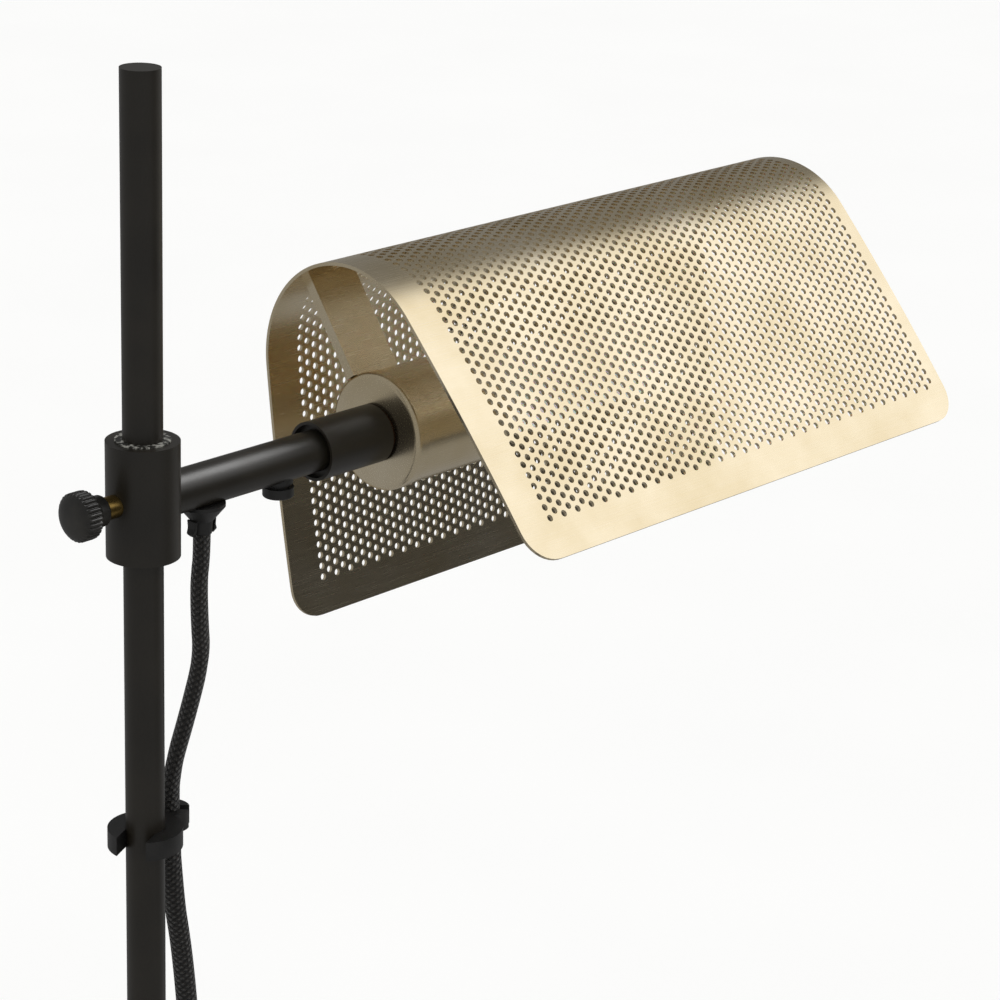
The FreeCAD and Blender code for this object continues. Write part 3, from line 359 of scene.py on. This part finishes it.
# %% Cord routes
# Points in millimetres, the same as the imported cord's. The last clip sends the cord over the foot
# and on to the floor, where the spare length is wound into a neat coil.
UPPER = ((25, 0, 1193.4), (25, 0, 1185.6), (23.7, 0, 1177), (24.2, .2, 1163), (25.8, .8, 1149),
         (21.4, 2.6, 1130), (16.2, 5, 1110), (15.6, 5.5, 1095), (15.7, 5.5, 1086))
MIDDLE = ((15.7, 5.5, 1086), (15.9, 5.5, 1068), (20.8, 4.4, 1036), (24, 3.4, 986), (20.4, 4.2, 930),
          (16.2, 5.3, 886), (15.7, 5.5, 853))
LOWER = ((15.7, 5.5, 853), (15.23, 5.69, 822), (20.8, 4.6, 768), (22.8, 3, 708), (18.6, 3.6, 655),
         (15.2, 5.2, 611), (16.6, 5.8, 568), (21.4, 3.8, 513), (22.2, 3.2, 455), (18.4, 4.4, 405),
         (15.2, 5.4, 361), (16.2, 6, 318), (20.8, 4.6, 264), (21, 4, 210), (17.4, 4.2, 166),
         (15.3, 5.3, 126.5), (17.4, 9.5, 95), (23.5, 19, 64), (35.5, 33.5, 39), (49.5, 53, 24.4),
         (62.5, 77.5, 21.3), (71.2, 104, 19.2), (79.4, 130.2, 7.2))
TAIL = ((163.6, 115.5, 11.6), (158.6, 99, 9.4), (154.2, 82.8, 8))
COIL_CENTRE = Vector((128, 142, 0))
COIL_RADII = (41.75, 34.25)
COIL_ROWS = (3.1, 8.6, 14.1)
STEP_OVER = 0.3
CORD_WIDTH, CORD_THICKNESS = 7.4, 5.8


def coil_points(first_angle=160.0, turns=5.5, steps=16):
    """The coil's turns: two side by side, three high, wound clockwise from the outside.

    The first part of each turn steps over from the last one. The spline runs inside its control
    points, so they are set a little wide.
    """
    places = [(COIL_RADII[0], COIL_ROWS[0]), (COIL_RADII[1], COIL_ROWS[0]),
              (COIL_RADII[1], COIL_ROWS[1]), (COIL_RADII[0], COIL_ROWS[1]),
              (COIL_RADII[1], COIL_ROWS[2]), (COIL_RADII[0], COIL_ROWS[2])]
    found = []
    for step in range(int(turns * steps) + 1):
        turn, part = divmod(step / steps, 1.0)
        here = Vector(places[int(turn)])
        before = Vector(places[max(int(turn) - 1, 0)])
        radius, height = before.lerp(here, eased(min(part / STEP_OVER, 1.0)))
        angle = math.radians(first_angle - 360.0 * step / steps)
        wide = radius / (0.75 + 0.25 * math.cos(2 * math.pi / steps))
        found.append(COIL_CENTRE + Vector((wide * math.cos(angle), wide * math.sin(angle), height)))
    return found


# %% Oval tube along a spline
def spline_path(name, points_mm):
    """A smooth spline with the route's points as its control points, read as a fine line."""
    curve = bpy.data.curves.new(name, "CURVE")
    curve.dimensions = "3D"
    curve.resolution_u = 10
    spline = curve.splines.new("NURBS")
    spline.points.add(len(points_mm) - 1)
    for point, place in zip(spline.points, points_mm):
        point.co = (*(Vector(place) * MM), 1.0)
    spline.order_u = 3
    spline.use_endpoint_u = True
    holder = linked(name, curve)
    line = bpy.data.meshes.new_from_object(holder)
    path = [vertex.co.copy() for vertex in line.vertices]
    bpy.data.objects.remove(holder)
    bpy.data.meshes.remove(line)
    bpy.data.curves.remove(curve)
    return path


# The cord turns by TWIST_BY degrees over TWIST_REACH metres, starting at the height TWIST_TOP.
TWIST_TOP, TWIST_REACH, TWIST_FROM, TWIST_BY = 1.125, 0.075, 42.0, -88.0


def wide_direction(place, along):
    """The way that the cord's wide side points: it turns on the way down, and lies flat below."""
    share = min(max((TWIST_TOP - place.z) / TWIST_REACH, 0.0), 1.0)
    turn = math.radians(TWIST_FROM + TWIST_BY * eased(share))
    upright = Vector((math.cos(turn), math.sin(turn), 0))
    flat = along.cross(Vector((0, 0, 1)))
    mixed = upright * max(1.0 - 2.0 * flat.length, 0.0) + flat
    return (mixed - along * mixed.dot(along)).normalized()


def oval_cord(name, points_mm, sides=14):
    """An oval tube along the spline, closed at both ends, with a UV map for the braid."""
    path = spline_path(name, points_mm)
    mesh = bpy.data.meshes.new(name)
    shape = bmesh.new()
    layer = shape.loops.layers.uv.new("along")
    rings, run = [], [0.0]
    for number, place in enumerate(path):
        if number:
            run.append(run[-1] + (place - path[number - 1]).length)
        along = (path[min(number + 1, len(path) - 1)] - path[max(number - 1, 0)]).normalized()
        wide = wide_direction(place, along)
        thin = along.cross(wide)
        ring = []
        for side in range(sides):
            angle = 2 * math.pi * side / sides
            ring.append(shape.verts.new(place + wide * (CORD_WIDTH / 2 * MM * math.cos(angle))
                                        + thin * (CORD_THICKNESS / 2 * MM * math.sin(angle))))
        rings.append(ring)
    for number in range(len(rings) - 1):
        for side in range(sides):
            after = (side + 1) % sides
            face = shape.faces.new((rings[number][side], rings[number][after],
                                    rings[number + 1][after], rings[number + 1][side]))
            face.smooth = True
            for loop, (u, v) in zip(face.loops, ((side, number), (side + 1, number),
                                                 (side + 1, number + 1), (side, number + 1))):
                loop[layer].uv = (u / sides, run[v])
    shape.faces.new(reversed(rings[0]))
    shape.faces.new(rings[-1])
    bmesh.ops.recalc_face_normals(shape, faces=shape.faces)
    shape.to_mesh(mesh)
    shape.free()
    mesh.materials.append(BRAID)
    piece = linked(name, mesh)
    print("%s: %.0f mm" % (name, run[-1] / MM))
    return piece, path, run[-1]


# %% Moulded plug
# Along the plug from the cord: how far, half its width and half its height.
PLUG_STATIONS = ((0.0, 4.3, 3.6), (1.0, 5.0, 4.2), (8.0, 6.6, 5.4), (9.6, 9.6, 7.0),
                 (11.0, 11.4, 7.8), (13.0, 12.0, 8.0), (15.5, 11.3, 7.5), (25.5, 11.3, 7.5),
                 (28.0, 12.0, 8.0), (29.4, 11.8, 7.8), (30.0, 11.0, 7.2))
PLUG_START, PLUG_TURN = Vector((154.2, 82.8, 8.0)), math.radians(-105.2)
PLUG_SIDES, PLUG_ROUNDNESS = 48, 0.5


def plug_ring(reach, half_width, half_height):
    """One section of the plug. A roundness of 1 would make it an oval, and 0 a rectangle."""
    ahead = Vector((math.cos(PLUG_TURN), math.sin(PLUG_TURN), 0))
    beside = Vector((-ahead.y, ahead.x, 0))
    ring = []
    for number in range(PLUG_SIDES):
        angle = 2 * math.pi * number / PLUG_SIDES
        wide = math.copysign(abs(math.cos(angle)) ** PLUG_ROUNDNESS, math.cos(angle)) * half_width
        tall = math.copysign(abs(math.sin(angle)) ** PLUG_ROUNDNESS, math.sin(angle)) * half_height
        ring.append((PLUG_START + ahead * reach + beside * wide + Vector((0, 0, tall))) * MM)
    return ring


plug = skinned("moulded_plug", [plug_ring(*station) for station in PLUG_STATIONS], MOULDED)
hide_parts("plug_body")
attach(plug, "stand")
print("plug: %d faces" % len(plug.data.polygons))

# %% The three runs of cord
upper_cord, upper_path, upper_length = oval_cord("braided_cord_upper", UPPER)
middle_cord, middle_path, middle_length = oval_cord("braided_cord_middle", MIDDLE)
lower_cord, lower_path, lower_length = oval_cord("braided_cord_lower",
                                                 [*LOWER, *coil_points(), *TAIL])
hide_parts("cord_upper")
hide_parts("cord_middle")
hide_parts("cord_lower", "cord_coil", "cord_tail")
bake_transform(upper_cord)
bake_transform(middle_cord)
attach(lower_cord, "stand")

# %% [markdown]
# ## Gland fins
# The gland that grips the cord has two short split fins below its dish. They spring in against the
# braid and end in a barb. Each is a thin wedge that follows the dish's foot, so four corners carried
# down three steps are enough.

# %% Gland fins
# Down the fin: how far, its inner and outer face from the cord's axis, and half its width.
FIN_STATIONS = ((0.0, 3.85, 4.7, 2.4), (2.6, 3.80, 4.6, 2.2), (4.4, 3.80, 5.5, 1.7),
                (5.6, 3.85, 4.3, 1.2))
FIN_TOP, FIN_BEVEL, FIN_TAPER = 1198.4, 0.15, 0.8


def gland_fin(name, side):
    """One springy fin beside the cord, thin at its foot and turned out in a barb."""
    rings = []
    for drop, inner, outer, half in FIN_STATIONS:
        corners = ((inner, -half), (outer, -half * FIN_TAPER), (outer, half * FIN_TAPER),
                   (inner, half))
        rings.append([Vector((UPPER[0][0] + side * reach, wide, FIN_TOP - drop)) * MM
                      for reach, wide in corners])
    fin = skinned(name, rings, MOULDED, smooth=False, bevel_mm=FIN_BEVEL)
    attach(fin, "carriage")


gland_fin("gland_fin_near", -1)
gland_fin("gland_fin_far", 1)

# %% [markdown]
# ## Thumb knob
# The knob is moulded with thirty flutes for grip and a low dome on its end. It is one turned
# outline, whose radius dips at each flute, so the grip and the dome share one smooth skin.

# %% Thumb knob
# Outwards from the collar: how far from the pole's axis, and the radius there.
KNOB_OUTLINE = ((17.0, 4.3), (17.2, 4.8), (17.7, 5.1), (20.6, 5.3), (21.8, 5.9), (22.4, 6.7),
                (22.7, 7.4), (23.1, 7.7), (23.8, 7.8), (25.4, 7.8), (27.2, 7.8), (27.8, 7.8),
                (28.2, 7.6), (28.7, 7.1), (29.2, 6.1), (29.6, 4.8), (29.9, 3.2), (30.0, 0.8))
KNOB_HEIGHT, FLUTES, FLUTE_DEPTH, KNOB_SIDES = 1211.4, 30, 0.65, 180
GRIP_START, GRIP_END, GRIP_EASE = 22.3, 28.4, 0.6
RIDGE_LEVEL = -0.3


def knob_ring(out, radius):
    """One section of the knob. The flutes fade in and out at the grip's ends."""
    grip = min(max((out - GRIP_START) / GRIP_EASE, 0), max((GRIP_END - out) / GRIP_EASE, 0), 1.0)
    ring = []
    for number in range(KNOB_SIDES):
        angle = 2 * math.pi * number / KNOB_SIDES
        here = radius - FLUTE_DEPTH * grip * max(math.cos(FLUTES * angle), RIDGE_LEVEL)
        ring.append(Vector((-out, here * math.cos(angle),
                            KNOB_HEIGHT + here * math.sin(angle))) * MM)
    return ring


knob = skinned("fluted_knob", [knob_ring(*station) for station in KNOB_OUTLINE], KNOB)
knob.data.polygons[-1].use_smooth = True
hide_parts("thumb_knob")
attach(knob, "thumbscrew")
print("knob: %d faces" % len(knob.data.polygons))

# %% [markdown]
# ## Perforated shade
# The real shade is one punched sheet, bent over at the crown. There are over four thousand holes,
# in staggered rows. Cutting them with booleans would be slow and would leave poor faces. Geometry
# Nodes can do what the factory does: draw the holes and the outline flat, fill between them, give
# the sheet its thickness, and then bend it by reading a profile curve at each point's distance.
# A real hole is round. Here it has ten sides, which look round at this size.

# %% Shade sizes
SHADE_START, SHADE_LENGTH, SHADE_WALL = 98.6, 240.4, 1.2
CROWN_RADIUS, CROWN_ANGLE, CROWN_HEIGHT = 39.5, math.radians(71.7), 21.1
SIDE_RADIUS, SIDE_LENGTH, SHADE_CORNER = 1032.0, 94.2, 12.0
HEAD_TILT = math.radians(25.5)
ARM_HEIGHT = 1210.0
PROFILE_LENGTH = 2 * (CROWN_RADIUS * CROWN_ANGLE + SIDE_LENGTH)
HOLE_RADIUS, ROW_PITCH, COLUMN_PITCH = 1.25, 4.0, 4.0 * math.sqrt(3) / 2
COLUMNS, FIRST_COLUMN, FIRST_ROW = 64, 15.3, 13.9
STRIP_COLUMNS, HOLE_SIDES, CORNER_POINTS, HEM_STEP = 4, 10, 10, 2.0
ROWS = int((PROFILE_LENGTH - 2 * FIRST_ROW) / ROW_PITCH + 0.5) + 1


def tipped(across_it, up_it):
    """From the shade's own (across, up) to (y, z), tipped forward about the arm."""
    return (-across_it * math.cos(HEAD_TILT) + up_it * math.sin(HEAD_TILT),
            ARM_HEIGHT + up_it * math.cos(HEAD_TILT) + across_it * math.sin(HEAD_TILT))


def profile_point(distance):
    """Place and outward direction on the shade's outer face, by distance from the front hem."""
    from_crown = PROFILE_LENGTH / 2 - distance
    hand = 1.0 if from_crown >= 0 else -1.0
    reach = abs(from_crown)
    bend = CROWN_RADIUS * CROWN_ANGLE
    if reach <= bend:
        angle = reach / CROWN_RADIUS
        place = Vector((math.sin(angle), math.cos(angle))) * CROWN_RADIUS
    else:
        angle = CROWN_ANGLE + (reach - bend) / SIDE_RADIUS
        centre = Vector((math.sin(CROWN_ANGLE), math.cos(CROWN_ANGLE))) * (CROWN_RADIUS - SIDE_RADIUS)
        place = centre + Vector((math.sin(angle), math.cos(angle))) * SIDE_RADIUS
    y, z = tipped(hand * place.x, CROWN_HEIGHT + place.y)
    y_end, z_end = tipped(hand * (place.x + math.sin(angle)), CROWN_HEIGHT + place.y + math.cos(angle))
    return Vector((0, y, z)) * MM, Vector((0, y_end - y, z_end - z))


print("%d columns by %d rows of holes on a sheet %.0f mm wide" % (COLUMNS, ROWS, PROFILE_LENGTH))

# %% Profile curve
profile = bpy.data.curves.new("shade_profile", "CURVE")
profile.dimensions = "3D"
line = profile.splines.new("POLY")
STEPS = 600
line.points.add(STEPS)
for step in range(STEPS + 1):
    line.points[step].co = (*profile_point(PROFILE_LENGTH * step / STEPS)[0], 1.0)
profile_object = linked("shade_profile", profile)

# %% The sheet's node tree
def sheet_tree():
    """Flat outline and holes, filled, thickened and then bent along the profile."""
    tree = bpy.data.node_groups.new("punched_sheet", "GeometryNodeTree")
    tree.interface.new_socket("Geometry", in_out="OUTPUT", socket_type="NodeSocketGeometry")
    for name, kind in (("Profile", "Object"), ("Finish", "Material"), ("Length", "Float"),
                       ("Width", "Float"), ("Wall", "Float"), ("Corner", "Float"),
                       ("Hole Radius", "Float"), ("Row Pitch", "Float"), ("Column Pitch", "Float"),
                       ("First Row", "Float"), ("First Column", "Float"), ("Rows", "Int"),
                       ("Strip Columns", "Int"), ("Strips", "Int"), ("Start", "Float")):
        tree.interface.new_socket(name, in_out="INPUT", socket_type="NodeSocket" + kind)
    given = add(tree, "NodeGroupInput").outputs

    def maths(operation, first, second=0.0):
        return add(tree, "ShaderNodeMath", {0: first, 1: second}, operation=operation).outputs[0]

    def vector(x=0.0, y=0.0, z=0.0):
        return add(tree, "ShaderNodeCombineXYZ", {0: x, 1: y, 2: z}).outputs[0]

    def together(*parts):
        join = add(tree, "GeometryNodeJoinGeometry")
        for part in parts:
            tree.links.new(part, join.inputs[0])
        return join.outputs[0]

    def border(wide, tall, across_count, left, low):
        """The outline of a rectangle, with about a point at every row so that it can bend."""
        grid = add(tree, "GeometryNodeMeshGrid", {
            "Size X": wide, "Size Y": tall, "Vertices X": across_count, "Vertices Y": ROWS + 2})
        faces_beside = add(tree, "GeometryNodeInputMeshEdgeNeighbors").outputs[0]
        edge = add(tree, "GeometryNodeMeshToCurve", {
            "Mesh": grid.outputs[0], "Selection": maths("LESS_THAN", faces_beside, 1.5)})
        centre = vector(maths("ADD", left, maths("DIVIDE", wide, 2.0)),
                        maths("ADD", low, maths("DIVIDE", tall, 2.0)))
        return add(tree, "GeometryNodeTransform", {"Geometry": edge.outputs[0],
                                                   "Translation": centre}).outputs[0]

    # The hem: a rounded outline, less the rectangle that the punch works in.
    outline = add(tree, "GeometryNodeCurvePrimitiveQuadrilateral",
                  {"Width": given["Length"], "Height": given["Width"]}, mode="RECTANGLE").outputs[0]
    rounded = add(tree, "GeometryNodeFilletCurve", {
        "Curve": outline, "Radius": given["Corner"], "Limit Radius": True, "Count": CORNER_POINTS},
        mode="POLY")
    fine = add(tree, "GeometryNodeResampleCurve", {
        "Curve": rounded.outputs[0], "Length": HEM_STEP * MM}, mode="LENGTH")
    moved = add(tree, "GeometryNodeTransform", {
        "Geometry": fine.outputs[0], "Translation": vector(maths("DIVIDE", given["Length"], 2.0),
                                                           maths("DIVIDE", given["Width"], 2.0))})
    strip_width = maths("MULTIPLY", given["Strip Columns"], given["Column Pitch"])
    left = maths("SUBTRACT", given["First Column"], maths("DIVIDE", given["Column Pitch"], 2.0))
    margin = maths("MULTIPLY", given["Hole Radius"], 1.5)
    low = maths("SUBTRACT", given["First Row"], margin)
    tall = maths("ADD", maths("MULTIPLY", maths("SUBTRACT", given["Rows"], 1.0), given["Row Pitch"]),
                 maths("MULTIPLY", margin, 2.0))
    inner = border(maths("MULTIPLY", strip_width, given["Strips"]), tall,
                   maths("ADD", given["Strips"], 1.0), left, low)
    hem = add(tree, "GeometryNodeFillCurve", {0: together(moved.outputs[0], inner)}).outputs[0]

    # One strip of holes: every other column is half a row further on, and is one hole shorter.
    grid = add(tree, "GeometryNodeMeshGrid", {"Vertices X": given["Strip Columns"],
                                              "Vertices Y": given["Rows"]})
    number = add(tree, "GeometryNodeInputIndex").outputs[0]
    column = maths("FLOOR", maths("DIVIDE", maths("ADD", number, 0.5), given["Rows"]))
    row = maths("SUBTRACT", number, maths("MULTIPLY", column, given["Rows"]))
    odd = maths("MODULO", column, 2.0)
    place = vector(
        maths("ADD", given["First Column"], maths("MULTIPLY", column, given["Column Pitch"])),
        maths("ADD", given["First Row"], maths("MULTIPLY", given["Row Pitch"],
              maths("ADD", row, maths("MULTIPLY", odd, 0.5)))))
    last = maths("MULTIPLY", odd, maths("GREATER_THAN", row, maths("SUBTRACT", given["Rows"], 1.5)))
    spots = add(tree, "GeometryNodeSetPosition", {"Geometry": grid.outputs[0], "Position": place})
    kept = add(tree, "GeometryNodeDeleteGeometry", {"Geometry": spots.outputs[0], "Selection": last},
               domain="POINT")
    ring = add(tree, "GeometryNodeCurvePrimitiveCircle", {
        "Resolution": HOLE_SIDES, "Radius": given["Hole Radius"]}, mode="RADIUS")
    holes = add(tree, "GeometryNodeInstanceOnPoints", {"Points": kept.outputs[0],
                                                       "Instance": ring.outputs[0]})
    real_holes = add(tree, "GeometryNodeRealizeInstances", {0: holes.outputs[0]}).outputs[0]
    strip = add(tree, "GeometryNodeFillCurve", {
        0: together(border(strip_width, tall, 2, left, low), real_holes)}).outputs[0]
    starts = add(tree, "GeometryNodeMeshLine", {
        "Count": given["Strips"], "Offset": vector(strip_width)})
    strips = add(tree, "GeometryNodeInstanceOnPoints", {
        "Points": starts.outputs[0], "Instance": strip})
    whole_sheet = add(tree, "GeometryNodeRealizeInstances", {0: together(strips.outputs[0], hem)})
    flat = add(tree, "GeometryNodeMergeByDistance", {"Geometry": whole_sheet.outputs[0],
                                                     "Distance": 1e-5}).outputs[0]

    # Thickness: the sheet is pushed up, and the first face stays behind, turned over.
    pushed = add(tree, "GeometryNodeExtrudeMesh", {"Mesh": flat, "Offset": vector(z=1.0),
                                                   "Offset Scale": given["Wall"], "Individual": False},
                 mode="FACES")
    turned_over = add(tree, "GeometryNodeFlipFaces", {0: flat})
    closed = add(tree, "GeometryNodeMergeByDistance", {
        "Geometry": together(pushed.outputs[0], turned_over.outputs[0]), "Distance": 1e-6})

    # Bending: y on the flat sheet is a distance along the profile, z is a depth below its face.
    spot = add(tree, "ShaderNodeSeparateXYZ", {0: add(tree, "GeometryNodeInputPosition").outputs[0]})
    source = add(tree, "GeometryNodeObjectInfo", {"Object": given["Profile"]})
    read = add(tree, "GeometryNodeSampleCurve", {"Curves": source.outputs["Geometry"],
                                                 "Length": spot.outputs[1]}, mode="LENGTH")
    outwards = add(tree, "ShaderNodeVectorMath", {0: (1.0, 0.0, 0.0), 1: read.outputs["Tangent"]},
                   operation="CROSS_PRODUCT").outputs[0]
    depth = maths("SUBTRACT", spot.outputs[2], given["Wall"])
    lifted = add(tree, "ShaderNodeVectorMath", {0: outwards, "Scale": depth},
                 operation="SCALE").outputs[0]
    on_face = add(tree, "ShaderNodeVectorMath", {
        0: read.outputs["Position"], 1: lifted}).outputs[0]
    total = add(tree, "ShaderNodeVectorMath", {
        0: on_face, 1: vector(maths("ADD", spot.outputs[0], given["Start"]))}).outputs[0]
    bent = add(tree, "GeometryNodeSetPosition", {"Geometry": closed.outputs[0], "Position": total})
    whole = add(tree, "GeometryNodeRealizeInstances", {0: bent.outputs[0]})
    finished = add(tree, "GeometryNodeSetMaterial", {"Geometry": whole.outputs[0],
                                                     "Material": given["Finish"]})
    tree.links.new(finished.outputs[0], add(tree, "NodeGroupOutput").inputs[0])
    return tree


# %% Make the shade
def from_tree(name, tree, values):
    """Evaluate a node tree on an empty mesh, and return its result as a plain mesh object."""
    holder = linked(name + "_holder", bpy.data.meshes.new(name + "_holder"))
    modifier = holder.modifiers.new("tree", "NODES")
    modifier.node_group = tree
    for item in tree.interface.items_tree:
        if item.item_type == "SOCKET" and item.in_out == "INPUT" and item.name in values:
            modifier[item.identifier] = values[item.name]
    bpy.context.view_layer.update()
    ready = holder.evaluated_get(bpy.context.evaluated_depsgraph_get())
    mesh = bpy.data.meshes.new_from_object(ready)
    mesh.name = name
    bpy.data.objects.remove(holder)
    return linked(name, mesh)


shade = from_tree("perforated_shade", sheet_tree(), {
    "Profile": profile_object, "Finish": BRASS, "Length": SHADE_LENGTH * MM,
    "Width": PROFILE_LENGTH * MM, "Wall": SHADE_WALL * MM, "Corner": SHADE_CORNER * MM,
    "Hole Radius": HOLE_RADIUS * MM, "Row Pitch": ROW_PITCH * MM,
    "Column Pitch": COLUMN_PITCH * MM, "First Row": FIRST_ROW * MM,
    "First Column": FIRST_COLUMN * MM, "Rows": ROWS, "Strip Columns": STRIP_COLUMNS,
    "Strips": COLUMNS // STRIP_COLUMNS, "Start": SHADE_START * MM})
bpy.data.objects.remove(profile_object)
print("shade: %d faces" % len(shade.data.polygons))


# How squarely a face must look along the bend's direction. The holes' walls don't, and stay flat.
FACE_ON = 0.7


def smooth_as_bent(mesh):
    """Give the sheet's faces the bend's own direction, so that reflections run smoothly."""
    centre_y, centre_z = tipped(0.0, CROWN_HEIGHT)
    outward = {}
    for vertex in mesh.vertices:
        y, z = vertex.co.y / MM - centre_y, vertex.co.z / MM - centre_z
        across_it = -y * math.cos(HEAD_TILT) + z * math.sin(HEAD_TILT)
        up_it = y * math.sin(HEAD_TILT) + z * math.cos(HEAD_TILT)
        hand = 1.0 if across_it >= 0 else -1.0
        angle = math.atan2(abs(across_it), up_it)
        if angle > CROWN_ANGLE:
            side = Vector((math.sin(CROWN_ANGLE),
                           math.cos(CROWN_ANGLE))) * (CROWN_RADIUS - SIDE_RADIUS)
            angle = math.atan2(abs(across_it) - side.x, up_it - side.y)
        a, b = hand * math.sin(angle), math.cos(angle)
        outward[vertex.index] = Vector((0, -a * math.cos(HEAD_TILT) + b * math.sin(HEAD_TILT),
                                        b * math.cos(HEAD_TILT) + a * math.sin(HEAD_TILT)))
    normals = []
    for face in mesh.polygons:
        face.use_smooth = True
        for corner in face.vertices:
            dot = outward[corner].dot(face.normal)
            bent = outward[corner] * math.copysign(1, dot)
            normals.append(bent if abs(dot) > FACE_ON else face.normal)
    mesh.normals_split_custom_set([tuple(normal) for normal in normals])


smooth_as_bent(shade.data)
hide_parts("shade")
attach(shade, "head")

# %% [markdown]
# ## Floor and light
# The studio is a plain white floor under a soft white sky. Metal shows what is around it, so in
# reflections the sky has a bright card above the head, which makes the front panel glow, and two
# dark cards: one gives the crown its olive band, the other keeps the inside of the back deep.
# The cards stand where this camera sees them mirrored, so the brass is at its best in this view.
# The floor is left out of reflections, so that only the cards shape them. One soft box puts the
# highlight on the arm. It is linked to the black parts only, because on the brass it would burn out.

# %% Floor
FLOOR_REACH = 40


def studio_floor():
    """A matt white floor, with a hint of paper grain."""
    material, tree, shader = finish("white_paper_sweep", Roughness=0.9)
    shader.inputs["Specular IOR Level"].default_value = 0.1
    tree.links.new(blended(tree, noise(tree, 400.0, 2.0), "#fbfbfa", "#fefefd"),
                   shader.inputs["Base Color"])
    return material


floor_mesh = bpy.data.meshes.new("floor")
floor_mesh.from_pydata([(-FLOOR_REACH, -FLOOR_REACH, 0), (FLOOR_REACH, -FLOOR_REACH, 0),
                        (FLOOR_REACH, FLOOR_REACH, 0), (-FLOOR_REACH, FLOOR_REACH, 0)],
                       [], [(0, 1, 2, 3)])
floor_mesh.materials.append(studio_floor())
floor = linked("floor", floor_mesh)
floor.visible_glossy = False

# %% Sky and lamps
# Each card: the way to it, where it starts to fade and where it ends in degrees, and its level.
CARDS = (((0.75, -0.37, 0.55), 19, 36, 1.58), ((0.78, 0.50, 0.36), 18, 42, 0.24),
         ((0.67, -0.75, -0.06), 14, 26, 0.05))
MIRRORED_SKY, SKY_STRENGTH = 0.38, 1.25
ARM_BOX_PLACE, ARM_BOX_AIM = Vector((1.10, -0.16, 2.15)), Vector((0.05, 0, 1.21))
ARM_BOX_SIZE, ARM_BOX_WATTS = 0.7, 13.0

world = bpy.data.worlds.new("studio")
bpy.context.scene.world = world
world.use_nodes = True
sky = world.node_tree
sky.nodes.clear()
direction = add(sky, "ShaderNodeTexCoord").outputs["Generated"]


def card(towards, near, far, level, behind):
    """A round card at one side: full strength within `near` degrees, gone by `far` degrees."""
    facing = add(sky, "ShaderNodeVectorMath", {0: direction, 1: Vector(towards).normalized()},
                 operation="DOT_PRODUCT").outputs["Value"]
    share = spread(sky, facing, math.cos(math.radians(far)), math.cos(math.radians(near)), 0, 1)
    return add(sky, "ShaderNodeMix", {0: share, 2: behind, 3: level}, data_type="FLOAT").outputs[0]


shown = MIRRORED_SKY
for towards, near, far, level in CARDS:
    shown = card(towards, near, far, level, shown)
is_gloss = add(sky, "ShaderNodeLightPath").outputs["Is Glossy Ray"]
strength = add(sky, "ShaderNodeMix", {0: is_gloss, 2: SKY_STRENGTH, 3: shown},
               data_type="FLOAT").outputs[0]
background = add(sky, "ShaderNodeBackground", {"Strength": strength})
sky.links.new(background.outputs[0], add(sky, "ShaderNodeOutputWorld").inputs[0])


def strip_light(place, aim, size, power, lit):
    """A square soft box, aimed at a point, that lights only the pieces in one collection."""
    lamp = bpy.data.lights.new("strip", "AREA")
    lamp.shape, lamp.size, lamp.energy = "SQUARE", size, power
    holder = linked("strip", lamp)
    holder.matrix_world = Matrix.Translation(place) @ (
        aim - place).to_track_quat("-Z", "Y").to_matrix().to_4x4()
    holder.light_linking.receiver_collection = lit


black_parts = bpy.data.collections.new("black_parts")
for name in (*FINISH_OF[PAINT], *FINISH_OF[MOULDED]):
    black_parts.objects.link(NODES[name])
black_parts.objects.link(knob)
strip_light(ARM_BOX_PLACE, ARM_BOX_AIM, ARM_BOX_SIZE, ARM_BOX_WATTS, black_parts)
bpy.context.scene.view_settings.view_transform = "Standard"
